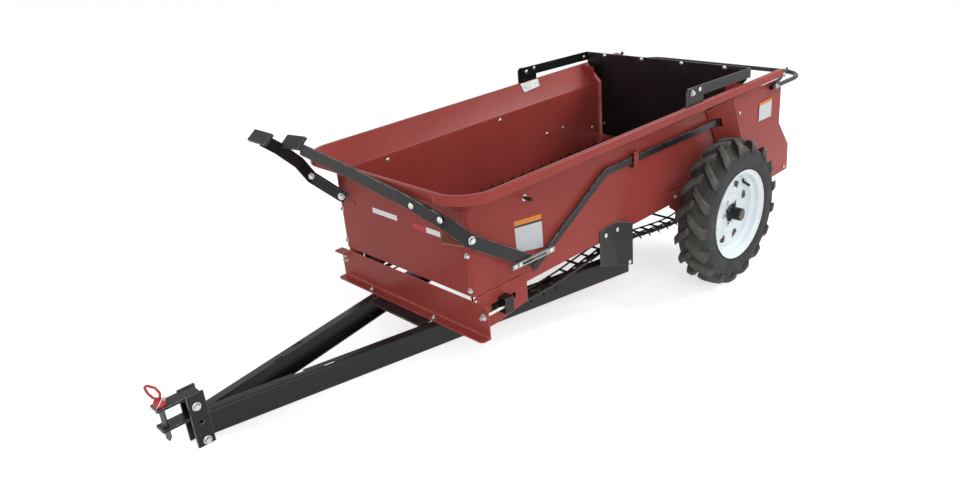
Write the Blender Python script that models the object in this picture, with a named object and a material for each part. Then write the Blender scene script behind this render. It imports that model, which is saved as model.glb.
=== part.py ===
"""Compact ground-driven manure spreader: a flared steel box on two lugged wheels, with an A-frame tongue.

The machine is drawn level, in metres: x to its left, y to its rear from the axle's centre line, z up from
the ground under the wheels. One empty then tips it forward about the axle, as it parks on its hitch.
"""

import math

import bmesh
import bpy
from mathutils import Matrix, Vector

# Gap between two solids that touch, and running clearance of a pin or a shaft in its hole.
SEAT = 0.0003
RUNNING = 0.0005
# How far a cutting shape stands past what it cuts, and the floor's clearance from the sprockets.
CUT = 0.010
SPROCKET_CLEAR = 0.010

# Box: sheet walls, upright below the crease and flared above it at the front and sides, with a folded rim.
SHEET = 0.003
BOX_HALF = 0.400
BOX_BOTTOM = 0.410
CREASE_Z = 0.795
RIM_Z = 0.890
FLARE_OUT = 0.090
RIM_INNER_HALF = BOX_HALF + FLARE_OUT
RIM_LIP = 0.022
RIM_HEM = 0.035
BOX_REAR = 0.575
FRONT_FOOT_Z = 0.457
FRONT_FOOT_Y = -1.476
FRONT_FLARE = 0.087
FRONT_RIM_Y = FRONT_FOOT_Y - FRONT_FLARE
CORNER_RADIUS = 0.012
RIM_CORNER_RADIUS = 0.130
FLOOR_Z = 0.452
FLOOR_THICK = 0.006
FLOOR_ANGLE = 0.034
FLOOR_ANGLE_SHARES = (0.19, 0.50, 0.81)
PLATE = 0.005

# Wheels, a 15 inch rim with a 27 inch bar-lug tyre.
TYRE_RADIUS = 0.343
CARCASS_RADIUS = 0.317
SHOULDER_DROP = 0.012
TREAD_HALF = 0.068
SECTION_HALF = 0.077
BEAD_RADIUS = 0.1923
RIM_FLANGE_TALL = 0.0182
RIM_FLANGE_RADIUS = BEAD_RADIUS + RIM_FLANGE_TALL
RIM_HALF = 0.070
RIM_WALL = 0.0035
WHEEL_OUT = 0.166
TRACK_HALF = BOX_HALF + WHEEL_OUT
LUGS_PER_SIDE = 17
LUG_SWEEP = math.radians(13)
LUG_TAPER = 0.007
LUG_CROWN = 0.001
# Where in each pitch a left lug, a gap, a right lug and a gap start.
LUG_SHARES = (0.0, 0.27, 0.5, 0.77)
# Rim barrel, outer face, from the flange in to the well: distance from the middle, depth under the bead.
BARREL = [(0.058, 0.0), (0.034, 0.002), (0.022, 0.016)]
# How far the barrel's inner face stands past its outer one at the last two of them, for an even wall.
BARREL_WALLS = (0.00245, 0.0015)
WINDOWS = 8
WINDOW_INNER = 0.114
WINDOW_OUTER = 0.149
WINDOW_HALF_ANGLE = 0.135
DISC_OFFSET = 0.012
DISC_DISH = 0.010
DISC_BEND_RADIUS = 0.070
DISC_RING_RADIUS = 0.120
HUB_RADIUS = 0.0285
HUB_FLANGE_RADIUS = 0.062
HUB_FLANGE = 0.010
HUB_INNER_END = 0.050
HUB_END = 0.081
HUB_CAP = 0.006
AXLE_RADIUS = 0.016
AXLE_END_GAP = 0.004

# Bolster under the front of the box, set back from the front panel's foot.
BOLSTER_OUT = 0.061
BOLSTER_HALF = BOX_HALF + BOLSTER_OUT
BOLSTER_TOP = 0.431
BOLSTER_SET_BACK = 0.006
BOLSTER_Y = FRONT_FOOT_Y + BOLSTER_SET_BACK
BOLSTER_FLANGE = 0.041
BOLSTER_SHEET = 0.005

# Apron: one loop of chain with cross rods round a front and a rear shaft. Its strands slide on the floor.
STRAND_WIDE = 0.024
STRAND_DEEP = 0.007
APRON_TOP = FLOOR_Z + STRAND_DEEP / 2 + SEAT
APRON_RADIUS = 0.072
APRON_AHEAD = 0.129
APRON_FRONT = BOLSTER_Y + APRON_AHEAD
APRON_REAR_INSET = 0.135
APRON_REAR = BOX_REAR - APRON_REAR_INSET
APRON_SIDE_INSET = 0.030
APRON_HALF = BOX_HALF - APRON_SIDE_INSET
APRON_RODS = 55
# Return run: share of the way from the rear shaft to the front one, rise over the straight line between them.
APRON_RETURN = [(0.135, -0.012), (0.314, -0.029), (0.416, -0.006), (0.500, 0.018), (0.584, 0.032),
                (0.634, 0.033), (0.696, 0.019), (0.764, 0.004), (0.837, -0.003), (0.921, -0.003)]
ROD_RADIUS = 0.005
SHAFT_RADIUS = 0.0125
SHAFT_END = 0.040
SPROCKET_RADIUS = 0.055
SPROCKET_HALF = 0.010
SHAFT_Z = APRON_TOP - APRON_RADIUS

# Take-ups that tighten the apron: plate outline behind the bolster, (back from it, height), slot and block.
TAKEUP_PLATE = [(0.2497, 0.452), (0.2647, 0.440), (0.2627, 0.333), (0.1877, 0.321), (0.0867, 0.308)]
TAKEUP_SLOT_FRONT = 0.059
TAKEUP_SLOT_REAR = 0.076
TAKEUP_SLOT_PLAY = 0.001
TAKEUP_BLOCK_LONG = 0.044
TAKEUP_BLOCK_TALL = 0.064
TAKEUP_BLOCK_WIDE = 0.040
TAKEUP_BORE_DEEP = 0.015
TAKEUP_SHAFT_IN = 0.014
TAKEUP_SCREW_AT = 0.036
TAKEUP_SCREW_X = BOX_HALF + TAKEUP_SCREW_AT
TAKEUP_SCREW_RADIUS = 0.006
TAKEUP_SCREW_PLAY = 0.0015
TAKEUP_SCREW_OUT = 0.018

# Beater at the rear of the box: a tube with paddles set round it in turn.
BEATER_INSET = 0.055
BEATER_Y = BOX_REAR - BEATER_INSET
BEATER_Z = 0.640
BEATER_RADIUS = 0.122
BEATER_TUBE = 0.021
BEATER_END_GAP = 0.012
BEATER_STUB = 0.035
PADDLES = 10
PADDLE_TURN = math.radians(108)
PADDLE_WIDE = 0.050
PADDLE_THICK = 0.006
PADDLE_MARGIN = 0.030

# Tongue and hitch.
CHANNEL_TALL = 0.095
CHANNEL_BOTTOM = 0.202
CHANNEL_FLANGE = 0.040
CHANNEL_WALL = 0.005
CHEEK_THICK = 0.008
CHEEK_REAR = -2.392
CHEEK_LONG = 0.063
CHEEK_FRONT = CHEEK_REAR - CHEEK_LONG
CHEEK_LOW = 0.179
CHEEK_TOP = 0.383
CHEEK_HOLE_RADIUS = 0.0085
CHEEK_HOLE_Z = 0.273
TONGUE_TIP_Y = CHEEK_REAR + SEAT
TONGUE_TIP_X = 0.034
TONGUE_END_Y = -0.560
TONGUE_END_OUT = 0.015
TONGUE_END_X = BOX_HALF + TONGUE_END_OUT
TIE_AHEAD = 0.0945
TIE_LONG = 0.060
TIE_THICK = 0.008
CLEVIS_OUT = 0.095
CLEVIS_IN = 0.055
CLEVIS_FRONT = CHEEK_FRONT - CLEVIS_OUT
CLEVIS_HALF = 0.028
CLEVIS_STRAP = 0.010
CLEVIS_TOP = 0.380
CLEVIS_TALL = 0.090
PIN_RADIUS = 0.0095
PIN_HEAD_RADIUS = 0.018
PIN_HEAD = 0.012
PIN_POINT = 0.012
PIN_POINT_RADIUS = 0.004
PIN_BACK = 0.022
PIN_Y = CLEVIS_FRONT + PIN_BACK
PIN_LOW = 0.240
LOOP_HALF_WIDE = 0.020
LOOP_HALF_TALL = 0.036
LOOP_WIRE = 0.004

# Hangers of the channels' rear ends: start on the box, and the foot and top at each of the plan's points.
HANGER_LONG = 0.183
HANGER_PAST = 0.020
HANGER_LOW = (0.300, 0.262, 0.236)
HANGER_HIGH = (0.463, 0.470, 0.440)

# Axle plate outline: (back from the axle, height), and how far it stands behind the box.
AXLE_PLATE = [(-0.228, 0.470), (-0.228, 0.400), (-0.070, 0.290), (0.070, 0.290), (0.300, 0.320)]
AXLE_PLATE_PAST = 0.025
AXLE_PLATE_TOP = 0.470
AXLE_PLATE_HEEL = 0.360
AXLE_PLATE_FOOT = 0.320

# End gate: a flat panel on a U-shaped frame that swings up.
GATE_HINGE_Y = -0.208
GATE_HINGE_RISE = 0.054
GATE_HINGE_Z = RIM_Z + GATE_HINGE_RISE
GATE_Y = 0.281
GATE_SIDE_GAP = 0.014
GATE_HALF = BOX_HALF - GATE_SIDE_GAP
GATE_LOW = 0.500
GATE_RISE = 0.063
GATE_TOP = RIM_Z + GATE_RISE
GATE_PLATE = 0.005
GATE_CORNER = 0.012
ARM_TALL = 0.045
ARM_THICK = 0.006
ARM_INSET = 0.001
ARM_X = RIM_INNER_HALF - ARM_INSET
ARM_REAR_RISE = 0.039
ARM_REAR_Z = RIM_Z + ARM_REAR_RISE
ARM_TAIL = 0.026
# Bracket outline above the rim: (back from the hinge, height over the rim).
GATE_BRACKET = [(0.088, 0.0003), (0.088, 0.055), (0.078, 0.068), (-0.032, 0.078), (-0.047, 0.065),
                (-0.047, 0.0003)]
HINGE_PIN_RADIUS = 0.007
HINGE_PIN_OUT = 0.008

# Drive shields at the rear corners. Front: the wall's line and the fold's line, each (y, z). Then the edge.
SHIELD_OUT = 0.080
SHIELD_X = BOX_HALF + SHIELD_OUT
SHIELD_FRONT = [(0.055, 0.790, 0.170, 0.835), (0.135, 0.644, 0.265, 0.606), (0.240, 0.440, 0.360, 0.310)]
SHIELD_EDGE = [(0.753, 0.319), (0.745, 0.458), (0.630, 0.600), (0.626, 0.780), (0.600, 0.835)]
NOTCH_HALF_TALL = 0.023
NOTCH_OUT = 0.040
NOTCH_LONG = 0.180
NOTCH_PAST = 0.050

# Guard round the rear.
GUARD_RADIUS = 0.011
GUARD_Z = 0.810
GUARD_PAST = 0.275
GUARD_REAR = BOX_REAR + GUARD_PAST
GUARD_BEND = 0.120
GUARD_OVERLAP = 0.075
GUARD_FRONT = BOX_REAR - GUARD_OVERLAP

# Control linkage: strap runs on the box's sides as (y, z), with a keeper welded over each.
STRAP_OUT = 0.015
STRAP_X = BOX_HALF + STRAP_OUT
STRAP_TALL = 0.030
STRAP_THICK = 0.006
STRAP_PATH = [(-1.172, 0.461), (-0.712, 0.722), (0.150, 0.720)]
KEEPER_Y = -0.532
KEEPER_LONG = 0.030
KEEPER_LOW = 0.690
KEEPER_HIGH = 0.752
KEEPER_BAR = 0.004
KEEPER_PLAY = 0.004
LEVER_TALL = 0.050
LEVER_THICK = 0.008
# How far out from the box's side both levers' rear ends run, beside their links.
LEVER_OUT = 0.030
PIVOT_RADIUS = 0.013
# Upper lever: which side, out from the box's side, back from the front rim, height.
UPPER_LEVER = [(-1, -0.048, -0.085, 0.969), (1, -0.100, -0.043, 0.836), (1, 0.020, -0.032, 0.803),
               (1, LEVER_OUT, 0.070, 0.698), (1, LEVER_OUT, 0.110, 0.672), (1, LEVER_OUT, 0.368, 0.506)]
UPPER_PIVOT = (0.113, 0.670)
# Each grip: half width, length and height, and how far it stands past its lever's end each way.
UPPER_GRIP = {"inward": 0.012, "outward": 0.055, "half_long": 0.014, "below": 0.018, "above": 0.034}
# Lower lever, outside the right side: back from the front rim, height.
LOWER_LEVER = [(0.368, 0.507), (0.114, 0.675), (-0.012, 0.797), (-0.057, 0.872), (-0.137, 0.955),
               (-0.197, 1.005)]
LOWER_GRIP = {"half_wide": 0.030, "ahead": 0.040, "behind": 0.015, "below": 0.020, "above": 0.030}
# Where the lower lever's bar carries on across the front panel: out from the box's side, back, height.
LOWER_ARM = (-0.083, 0.063, 0.696)
# Link from each lever's end to the strap's: back from the front rim, height.
LINK = [(0.251, 0.515), (0.4875, 0.509), (0.4875, 0.530), (0.251, 0.536)]
LINK_THICK = 0.012
LINK_PIN = (0.478, 0.514)
LINK_PIN_RADIUS = 0.007

MATERIALS = {
    "red_paint": ((0.290, 0.052, 0.047), 0.35, 0.0),
    "black_paint": ((0.020, 0.020, 0.021), 0.42, 0.0),
    "tyre_rubber": ((0.035, 0.033, 0.031), 0.85, 0.0),
    "white_rim": ((0.700, 0.780, 0.820), 0.35, 0.0),
    "zinc": ((0.550, 0.580, 0.570), 0.38, 1.0),
    "steel": ((0.180, 0.175, 0.165), 0.45, 1.0),
    "handle_red": ((0.500, 0.045, 0.050), 0.40, 0.0),
}


def clear_scene():
    for found in list(bpy.data.objects):
        bpy.data.objects.remove(found, do_unlink=True)


def material(name):
    """The named paint or metal, made once."""
    made = bpy.data.materials.get(name)
    if made is None:
        colour, rough, metal = MATERIALS[name]
        made = bpy.data.materials.new(name)
        made.use_nodes = True
        shader = made.node_tree.nodes["Principled BSDF"]
        shader.inputs["Base Color"].default_value = (*colour, 1)
        shader.inputs["Roughness"].default_value = rough
        shader.inputs["Metallic"].default_value = metal
    return made


def empty(name, parent=None, location=(0, 0, 0)):
    made = bpy.data.objects.new(name, None)
    bpy.context.scene.collection.objects.link(made)
    made.parent = parent
    made.location = location
    return made


def finish(name, bm, paint, body):
    """Makes the object of a bmesh drawn in the machine's level frame, with its origin on the body's empty."""
    bmesh.ops.recalc_face_normals(bm, faces=bm.faces)
    bm.transform(Matrix.Translation(-Vector(body.location if body.parent else (0, 0, 0))))
    mesh = bpy.data.meshes.new(name)
    bm.to_mesh(mesh)
    bm.free()
    made = bpy.data.objects.new(name, mesh)
    bpy.context.scene.collection.objects.link(made)
    made.parent = body
    mesh.materials.append(material(paint))
    return made


def smooth(made, angle=40):
    made.data.shade_smooth()
    made.data.set_sharp_from_angle(angle=math.radians(angle))
    return made


def bake(made):
    """Applies the object's modifiers."""
    graph = bpy.context.evaluated_depsgraph_get()
    mesh = bpy.data.meshes.new_from_object(made.evaluated_get(graph))
    made.modifiers.clear()
    made.data = mesh
    return made


def combine(made, other, operation):
    """Joins the other object to this one, or cuts it away, and removes it."""
    modifier = made.modifiers.new(operation, "BOOLEAN")
    modifier.operation = operation
    modifier.object = other
    bake(made)
    bpy.data.objects.remove(other, do_unlink=True)
    return made


def quads(bm, rings, closed):
    """Joins rings of vertices, one after the other, and back to the first if closed."""
    pairs = list(zip(rings, rings[1:])) + ([(rings[-1], rings[0])] if closed else [])
    for first, second in pairs:
        for k in range(len(first)):
            after = (k + 1) % len(first)
            bm.faces.new((first[k], first[after], second[after], second[k]))


def add_sweep(bm, path, section, closed=False, up=(0, 0, 1)):
    """Carries a closed section along straight runs, mitred where they meet."""
    path = [Vector(p) for p in path]
    count = len(path)
    rings = []
    for i, point in enumerate(path):
        ahead = path[(i + 1) % count] - point if closed or i + 1 < count else point - path[i - 1]
        behind = point - path[i - 1] if closed or i > 0 else ahead
        ahead, behind = ahead.normalized(), behind.normalized()
        mitre = (ahead + behind).normalized()
        side = behind.cross(Vector(up)).normalized()
        raised = side.cross(behind)
        ring = []
        for a, b in section:
            offset = side * a + raised * b
            offset -= behind * (offset.dot(mitre) / behind.dot(mitre))
            ring.append(bm.verts.new(point + offset))
        rings.append(ring)
    quads(bm, rings, closed)
    if not closed:
        bm.faces.new(rings[0])
        bm.faces.new(rings[-1])


def add_prism(bm, outline, axis, low, high):
    """Extrudes an outline of (first, second) coordinates along x, y or z."""
    order = {"x": (2, 0, 1), "y": (0, 2, 1), "z": (0, 1, 2)}[axis]
    rings = []
    for level in (low, high):
        points = [(a, b, level) for a, b in outline]
        rings.append([bm.verts.new([p[k] for k in order]) for p in points])
    quads(bm, rings, False)
    bm.faces.new(rings[0])
    bm.faces.new(rings[1])


def add_box(bm, x0, x1, y0, y1, z0, z1):
    add_prism(bm, [(x0, y0), (x1, y0), (x1, y1), (x0, y1)], "z", z0, z1)


def circle(radius, sides, centre=(0, 0), start=0.0):
    turn = 2 * math.pi / sides
    return [
        (centre[0] + radius * math.cos(start + k * turn), centre[1] + radius * math.sin(start + k * turn))
        for k in range(sides)
    ]


def add_lathe(bm, profile, sides, centre):
    """Turns a closed profile of (x, radius) about the line through centre along x."""
    rings = []
    for k in range(sides):
        angle = 2 * math.pi * k / sides
        ring = []
        for x, r in profile:
            place = (centre[0] + x, centre[1] + r * math.sin(angle), centre[2] + r * math.cos(angle))
            ring.append(bm.verts.new(place))
        rings.append(ring)
    quads(bm, rings, True)
    bmesh.ops.remove_doubles(bm, verts=bm.verts, dist=1e-6)


def rectangle(wide, tall):
    return [(-wide / 2, -tall / 2), (wide / 2, -tall / 2), (wide / 2, tall / 2), (-wide / 2, tall / 2)]


def cutter(body):
    """A bmesh's worth of cutting shape: call it with a bmesh to get an object that combine() takes."""
    return lambda bm: finish("cutter", bm, "steel", body)


def drill(made, body, holes, axis, low, high, sides=24):
    """Cuts round holes, each (first, second, radius), through a plate along one axis."""
    for a, b, radius in holes:
        bm = bmesh.new()
        add_prism(bm, circle(radius, sides, (a, b)), axis, low, high)
        combine(made, cutter(body)(bm), "DIFFERENCE")
    return made


def wall_levels(bottom):
    """Rows of the box wall, up its inner face and over the rim: height, half width, corner radius, front."""
    inner = BOX_HALF - SHEET
    outer = RIM_INNER_HALF + RIM_LIP
    outer_corner = RIM_CORNER_RADIUS + RIM_LIP
    return [
        (bottom, inner, CORNER_RADIUS, FRONT_FOOT_Y),
        (CREASE_Z, inner, CORNER_RADIUS, FRONT_FOOT_Y),
        (RIM_Z, RIM_INNER_HALF, RIM_CORNER_RADIUS, FRONT_RIM_Y),
        (RIM_Z, outer, outer_corner, FRONT_RIM_Y - RIM_LIP),
        (RIM_Z - RIM_HEM, outer, outer_corner, FRONT_RIM_Y - RIM_LIP),
    ]


def thicken(made):
    modifier = made.modifiers.new("sheet", "SOLIDIFY")
    modifier.thickness = SHEET
    modifier.offset = -1
    modifier.use_even_offset = True
    return bake(made)


def open_sheet(name, rows, paint, body, flip):
    """A folded sheet from a grid of points, thickened away from its normals."""
    bm = bmesh.new()
    grid = [[bm.verts.new(p) for p in row] for row in rows]
    for low, high in zip(grid, grid[1:]):
        for k in range(len(low) - 1):
            corners = (low[k], low[k + 1], high[k + 1], high[k])
            bm.faces.new(reversed(corners) if flip else corners)
    mesh = bpy.data.meshes.new(name)
    bm.to_mesh(mesh)
    bm.free()
    made = bpy.data.objects.new(name, mesh)
    bpy.context.scene.collection.objects.link(made)
    made.parent = body
    mesh.materials.append(material(paint))
    return thicken(made)


def build_box(root):
    """Side panels with their rounded front corners, the front panel, the floor and what carries it."""
    for side, sign in (("left", 1), ("right", -1)):
        rows = []
        for z, half, radius, front in wall_levels(BOX_BOTTOM):
            row = [(sign * half, BOX_REAR, z), (sign * half, front + radius, z)]
            for k in range(1, 7):
                turn = math.radians(15 * k)
                x = half - radius + radius * math.cos(turn)
                row.append((sign * x, front + radius - radius * math.sin(turn), z))
            rows.append(row)
        panel = open_sheet("side_panel_" + side, rows, "red_paint", root, sign < 0)
        reach = BOX_HALF + FLARE_OUT + RIM_LIP
        holes = [(BEATER_Y, BEATER_Z, SHAFT_RADIUS + RUNNING)]
        drill(panel, root, holes, "x", sign * reach, sign * (BOX_HALF - CUT))
        # A bent keeper welded to the side holds the control strap against it.
        bm = bmesh.new()
        inner, outer = BOX_HALF - SHEET / 2, STRAP_X + STRAP_THICK + KEEPER_PLAY
        low, high, bar = KEEPER_LOW, KEEPER_HIGH, KEEPER_BAR
        outline = [(inner, low), (outer + bar, low), (outer + bar, high), (inner, high),
                   (inner, high - bar), (outer, high - bar), (outer, low + bar), (inner, low + bar)]
        add_prism(bm, [(sign * a, b) for a, b in outline], "y", KEEPER_Y, KEEPER_Y + KEEPER_LONG)
        combine(panel, cutter(root)(bm), "UNION")
        # The corner stops at the front panel's foot, behind the bolster.
        bm = bmesh.new()
        xs = sorted((sign * BOX_HALF / 2, sign * reach))
        back = BOLSTER_Y + BOLSTER_SHEET + SEAT
        add_box(bm, xs[0], xs[1], FRONT_RIM_Y, back, BOX_BOTTOM - CUT, FRONT_FOOT_Z)
        combine(panel, cutter(root)(bm), "DIFFERENCE")
        smooth(panel)
    rows = []
    for z, half, radius, front in wall_levels(FRONT_FOOT_Z):
        edge = half - radius - 2 * RUNNING
        rows.append([(edge, front, z), (-edge, front, z)])
    open_sheet("front_panel", rows, "red_paint", root, False)
    inner = BOX_HALF - SHEET - SEAT
    bm = bmesh.new()
    ends = SPROCKET_RADIUS + SPROCKET_CLEAR
    add_box(bm, -inner, inner, APRON_FRONT + ends, APRON_REAR - ends, FLOOR_Z - FLOOR_THICK, FLOOR_Z)
    floor = finish("floor", bm, "red_paint", root)
    bm = bmesh.new()
    top = FLOOR_Z - FLOOR_THICK / 2
    low = FLOOR_Z - FLOOR_THICK - FLOOR_ANGLE
    for share in FLOOR_ANGLE_SHARES:
        y = APRON_FRONT + share * (APRON_REAR - APRON_FRONT)
        outline = [(y, top), (y + FLOOR_ANGLE, top), (y + FLOOR_ANGLE, FLOOR_Z - FLOOR_THICK - PLATE)]
        outline += [(y + PLATE, FLOOR_Z - FLOOR_THICK - PLATE), (y + PLATE, low), (y, low)]
        add_prism(bm, outline, "x", -inner + SHEET, inner - SHEET)
    combine(floor, cutter(root)(bm), "UNION")


def build_tongue(root):
    """Two channels that spread from the hitch to the box's sides, and the flat bar between them."""
    along = Vector((TONGUE_END_X - TONGUE_TIP_X, TONGUE_END_Y - TONGUE_TIP_Y, 0))
    for side, sign in (("left", 1), ("right", -1)):
        bm = bmesh.new()
        w, t, h = CHANNEL_FLANGE, CHANNEL_WALL, CHANNEL_TALL
        section = [(0, 0), (-w, 0), (-w, t), (-t, t), (-t, h - t), (-w, h - t), (-w, h), (0, h)]
        section = [(sign * a, b) for a, b in section]
        start = (sign * TONGUE_TIP_X, TONGUE_TIP_Y, CHANNEL_BOTTOM)
        end = (sign * (TONGUE_TIP_X + along.x), TONGUE_TIP_Y + along.y, CHANNEL_BOTTOM)
        add_sweep(bm, [start, end], section)
        channel = finish("tongue_channel_" + side, bm, "black_paint", root)
        # The channels meet on the centre line at the tip, each cut back to its own side.
        bm = bmesh.new()
        xs = sorted((sign * SEAT, -sign * CHANNEL_TALL))
        add_box(bm, xs[0], xs[1], TONGUE_TIP_Y - CHANNEL_TALL, TONGUE_TIP_Y - TONGUE_END_Y,
                CHANNEL_BOTTOM - CUT, CHANNEL_BOTTOM + CHANNEL_TALL + CUT)
        combine(channel, cutter(root)(bm), "DIFFERENCE")
    bm = bmesh.new()
    y = BOLSTER_Y - TIE_AHEAD
    slope = along.x / along.y
    half = TONGUE_TIP_X + (y - TONGUE_TIP_Y) * slope - CHANNEL_FLANGE - CUT / 2
    top = CHANNEL_BOTTOM + CHANNEL_TALL
    add_box(bm, -half, half, y, y + TIE_LONG, top - TIE_THICK, top)
    finish("tongue_tie", bm, "black_paint", root)


def build_hitch(root):
    """Cheek plates bolted to the channels' ends, the clevis between them and its drawbar pin."""
    inner = CLEVIS_HALF + SEAT
    for side, sign in (("left", 1), ("right", -1)):
        bm = bmesh.new()
        xs = sorted((sign * inner, sign * (inner + CHEEK_THICK)))
        add_box(bm, xs[0], xs[1], CHEEK_FRONT, CHEEK_REAR, CHEEK_LOW, CHEEK_TOP)
        cheek = finish("hitch_cheek_" + side, bm, "black_paint", root)
        hole = [((CHEEK_FRONT + CHEEK_REAR) / 2, CHEEK_HOLE_Z, CHEEK_HOLE_RADIUS)]
        drill(cheek, root, hole, "x", xs[0] - CUT, xs[1] + CUT, 16)
    low = CLEVIS_TOP - CLEVIS_TALL
    web = CHEEK_FRONT + CLEVIS_IN
    outline = [(CLEVIS_FRONT, CLEVIS_TOP), (web, CLEVIS_TOP), (web, low), (CLEVIS_FRONT, low)]
    outline += [(CLEVIS_FRONT, low + CLEVIS_STRAP), (web - CLEVIS_STRAP, low + CLEVIS_STRAP)]
    outline += [(web - CLEVIS_STRAP, CLEVIS_TOP - CLEVIS_STRAP), (CLEVIS_FRONT, CLEVIS_TOP - CLEVIS_STRAP)]
    bm = bmesh.new()
    add_prism(bm, outline, "x", -CLEVIS_HALF, CLEVIS_HALF)
    clevis = finish("hitch_clevis", bm, "black_paint", root)
    drill(clevis, root, [(0, PIN_Y, PIN_RADIUS + RUNNING)], "z", low - CUT, CLEVIS_TOP + CUT)
    bm = bmesh.new()
    head = CLEVIS_TOP + SEAT
    profile = [(PIN_LOW, PIN_POINT_RADIUS), (PIN_LOW + PIN_POINT, PIN_RADIUS), (head, PIN_RADIUS)]
    profile += [(head, PIN_HEAD_RADIUS), (head + PIN_HEAD, PIN_HEAD_RADIUS)]
    rings = [[bm.verts.new((a, PIN_Y + b, z)) for a, b in circle(r, 16)] for z, r in profile]
    quads(bm, rings, False)
    bm.faces.new(rings[0])
    bm.faces.new(rings[-1])
    smooth(finish("drawbar_pin", bm, "zinc", root))
    bm = bmesh.new()
    middle = head + PIN_HEAD + SEAT + LOOP_WIRE + LOOP_HALF_TALL
    turns = [math.radians(20 * k) for k in range(18)]
    loop = [(LOOP_HALF_WIDE * math.sin(a), PIN_Y, middle - LOOP_HALF_TALL * math.cos(a)) for a in turns]
    add_sweep(bm, loop, circle(LOOP_WIRE, 8), closed=True, up=(0, 1, 0))
    smooth(finish("drawbar_pin_handle", bm, "handle_red", root))


def build_bolster(root):
    """Folded sheet under the front of the box, with the side plates and screws that tighten the apron."""
    top = CHANNEL_BOTTOM + CHANNEL_TALL + SEAT
    t = BOLSTER_SHEET
    y = BOLSTER_Y
    outline = [(y, BOLSTER_TOP), (y, top + t), (y - BOLSTER_FLANGE, top + t), (y - BOLSTER_FLANGE, top)]
    outline += [(y + t, top), (y + t, BOLSTER_TOP)]
    bm = bmesh.new()
    add_prism(bm, outline, "x", -BOLSTER_HALF, BOLSTER_HALF)
    bolster = finish("bolster", bm, "red_paint", root)
    screw_x = TAKEUP_SCREW_X
    holes = [(sign * screw_x, SHAFT_Z, TAKEUP_SCREW_RADIUS + TAKEUP_SCREW_PLAY) for sign in (1, -1)]
    drill(bolster, root, holes, "y", y - CUT, y + t + CUT, 16)
    back = y + t + SEAT
    half_long, half_tall = TAKEUP_BLOCK_LONG / 2, TAKEUP_BLOCK_TALL / 2
    for side, sign in (("left", 1), ("right", -1)):
        near = sign * (BOX_HALF + SEAT)
        far = sign * (BOX_HALF + SEAT + PLATE)
        outline = [(back, TAKEUP_PLATE[0][1])] + [(back + a, z) for a, z in TAKEUP_PLATE]
        outline.append((back, TAKEUP_PLATE[-1][1]))
        bm = bmesh.new()
        add_prism(bm, outline, "x", min(near, far), max(near, far))
        plate = finish("takeup_plate_" + side, bm, "red_paint", root)
        bm = bmesh.new()
        tall = SHAFT_RADIUS + TAKEUP_SLOT_PLAY
        front, rear = APRON_FRONT - TAKEUP_SLOT_FRONT, APRON_FRONT + TAKEUP_SLOT_REAR
        xs = sorted((near - sign * CUT, far + sign * CUT))
        add_box(bm, xs[0], xs[1], front, rear, SHAFT_Z - tall, SHAFT_Z + tall)
        combine(plate, cutter(root)(bm), "DIFFERENCE")
        bm = bmesh.new()
        inside = abs(far) + SEAT
        xs = sorted((sign * inside, sign * (inside + TAKEUP_BLOCK_WIDE)))
        add_box(bm, xs[0], xs[1], APRON_FRONT - half_long, APRON_FRONT + half_long,
                SHAFT_Z - half_tall, SHAFT_Z + half_tall)
        block = finish("takeup_block_" + side, bm, "black_paint", root)
        hole = [(APRON_FRONT, SHAFT_Z, SHAFT_RADIUS + SEAT)]
        drill(block, root, hole, "x", sign * (inside - CUT), sign * (inside + TAKEUP_BORE_DEEP))
        bm = bmesh.new()
        path = [(sign * screw_x, y - TAKEUP_SCREW_OUT, SHAFT_Z),
                (sign * screw_x, APRON_FRONT - half_long - SEAT, SHAFT_Z)]
        add_sweep(bm, path, circle(TAKEUP_SCREW_RADIUS, 10))
        smooth(finish("takeup_screw_" + side, bm, "zinc", root))


def apron_path(steps_round):
    """The chain's centre line in y and z: top run, round the rear, the hanging return, round the front."""
    path = []
    for k in range(steps_round + 1):
        turn = math.pi * k / steps_round
        path.append((APRON_REAR + APRON_RADIUS * math.sin(turn), SHAFT_Z + APRON_RADIUS * math.cos(turn)))
    for share, rise in APRON_RETURN:
        path.append((APRON_REAR + (APRON_FRONT - APRON_REAR) * share, SHAFT_Z - APRON_RADIUS + rise))
    for k in range(steps_round + 1):
        turn = math.pi * k / steps_round
        path.append((APRON_FRONT - APRON_RADIUS * math.sin(turn), SHAFT_Z - APRON_RADIUS * math.cos(turn)))
    return path


def along_path(path, count):
    """Points at equal steps round a closed path."""
    points = [Vector(p) for p in path]
    spans = [(b - a).length for a, b in zip(points, points[1:] + points[:1])]
    step = sum(spans) / count
    found, at, i = [], 0.0, 0
    for k in range(count):
        wanted = (k + 0.5) * step
        while at + spans[i] < wanted:
            at += spans[i]
            i += 1
        share = (wanted - at) / spans[i]
        found.append(points[i].lerp(points[(i + 1) % len(points)], share))
    return found


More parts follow.
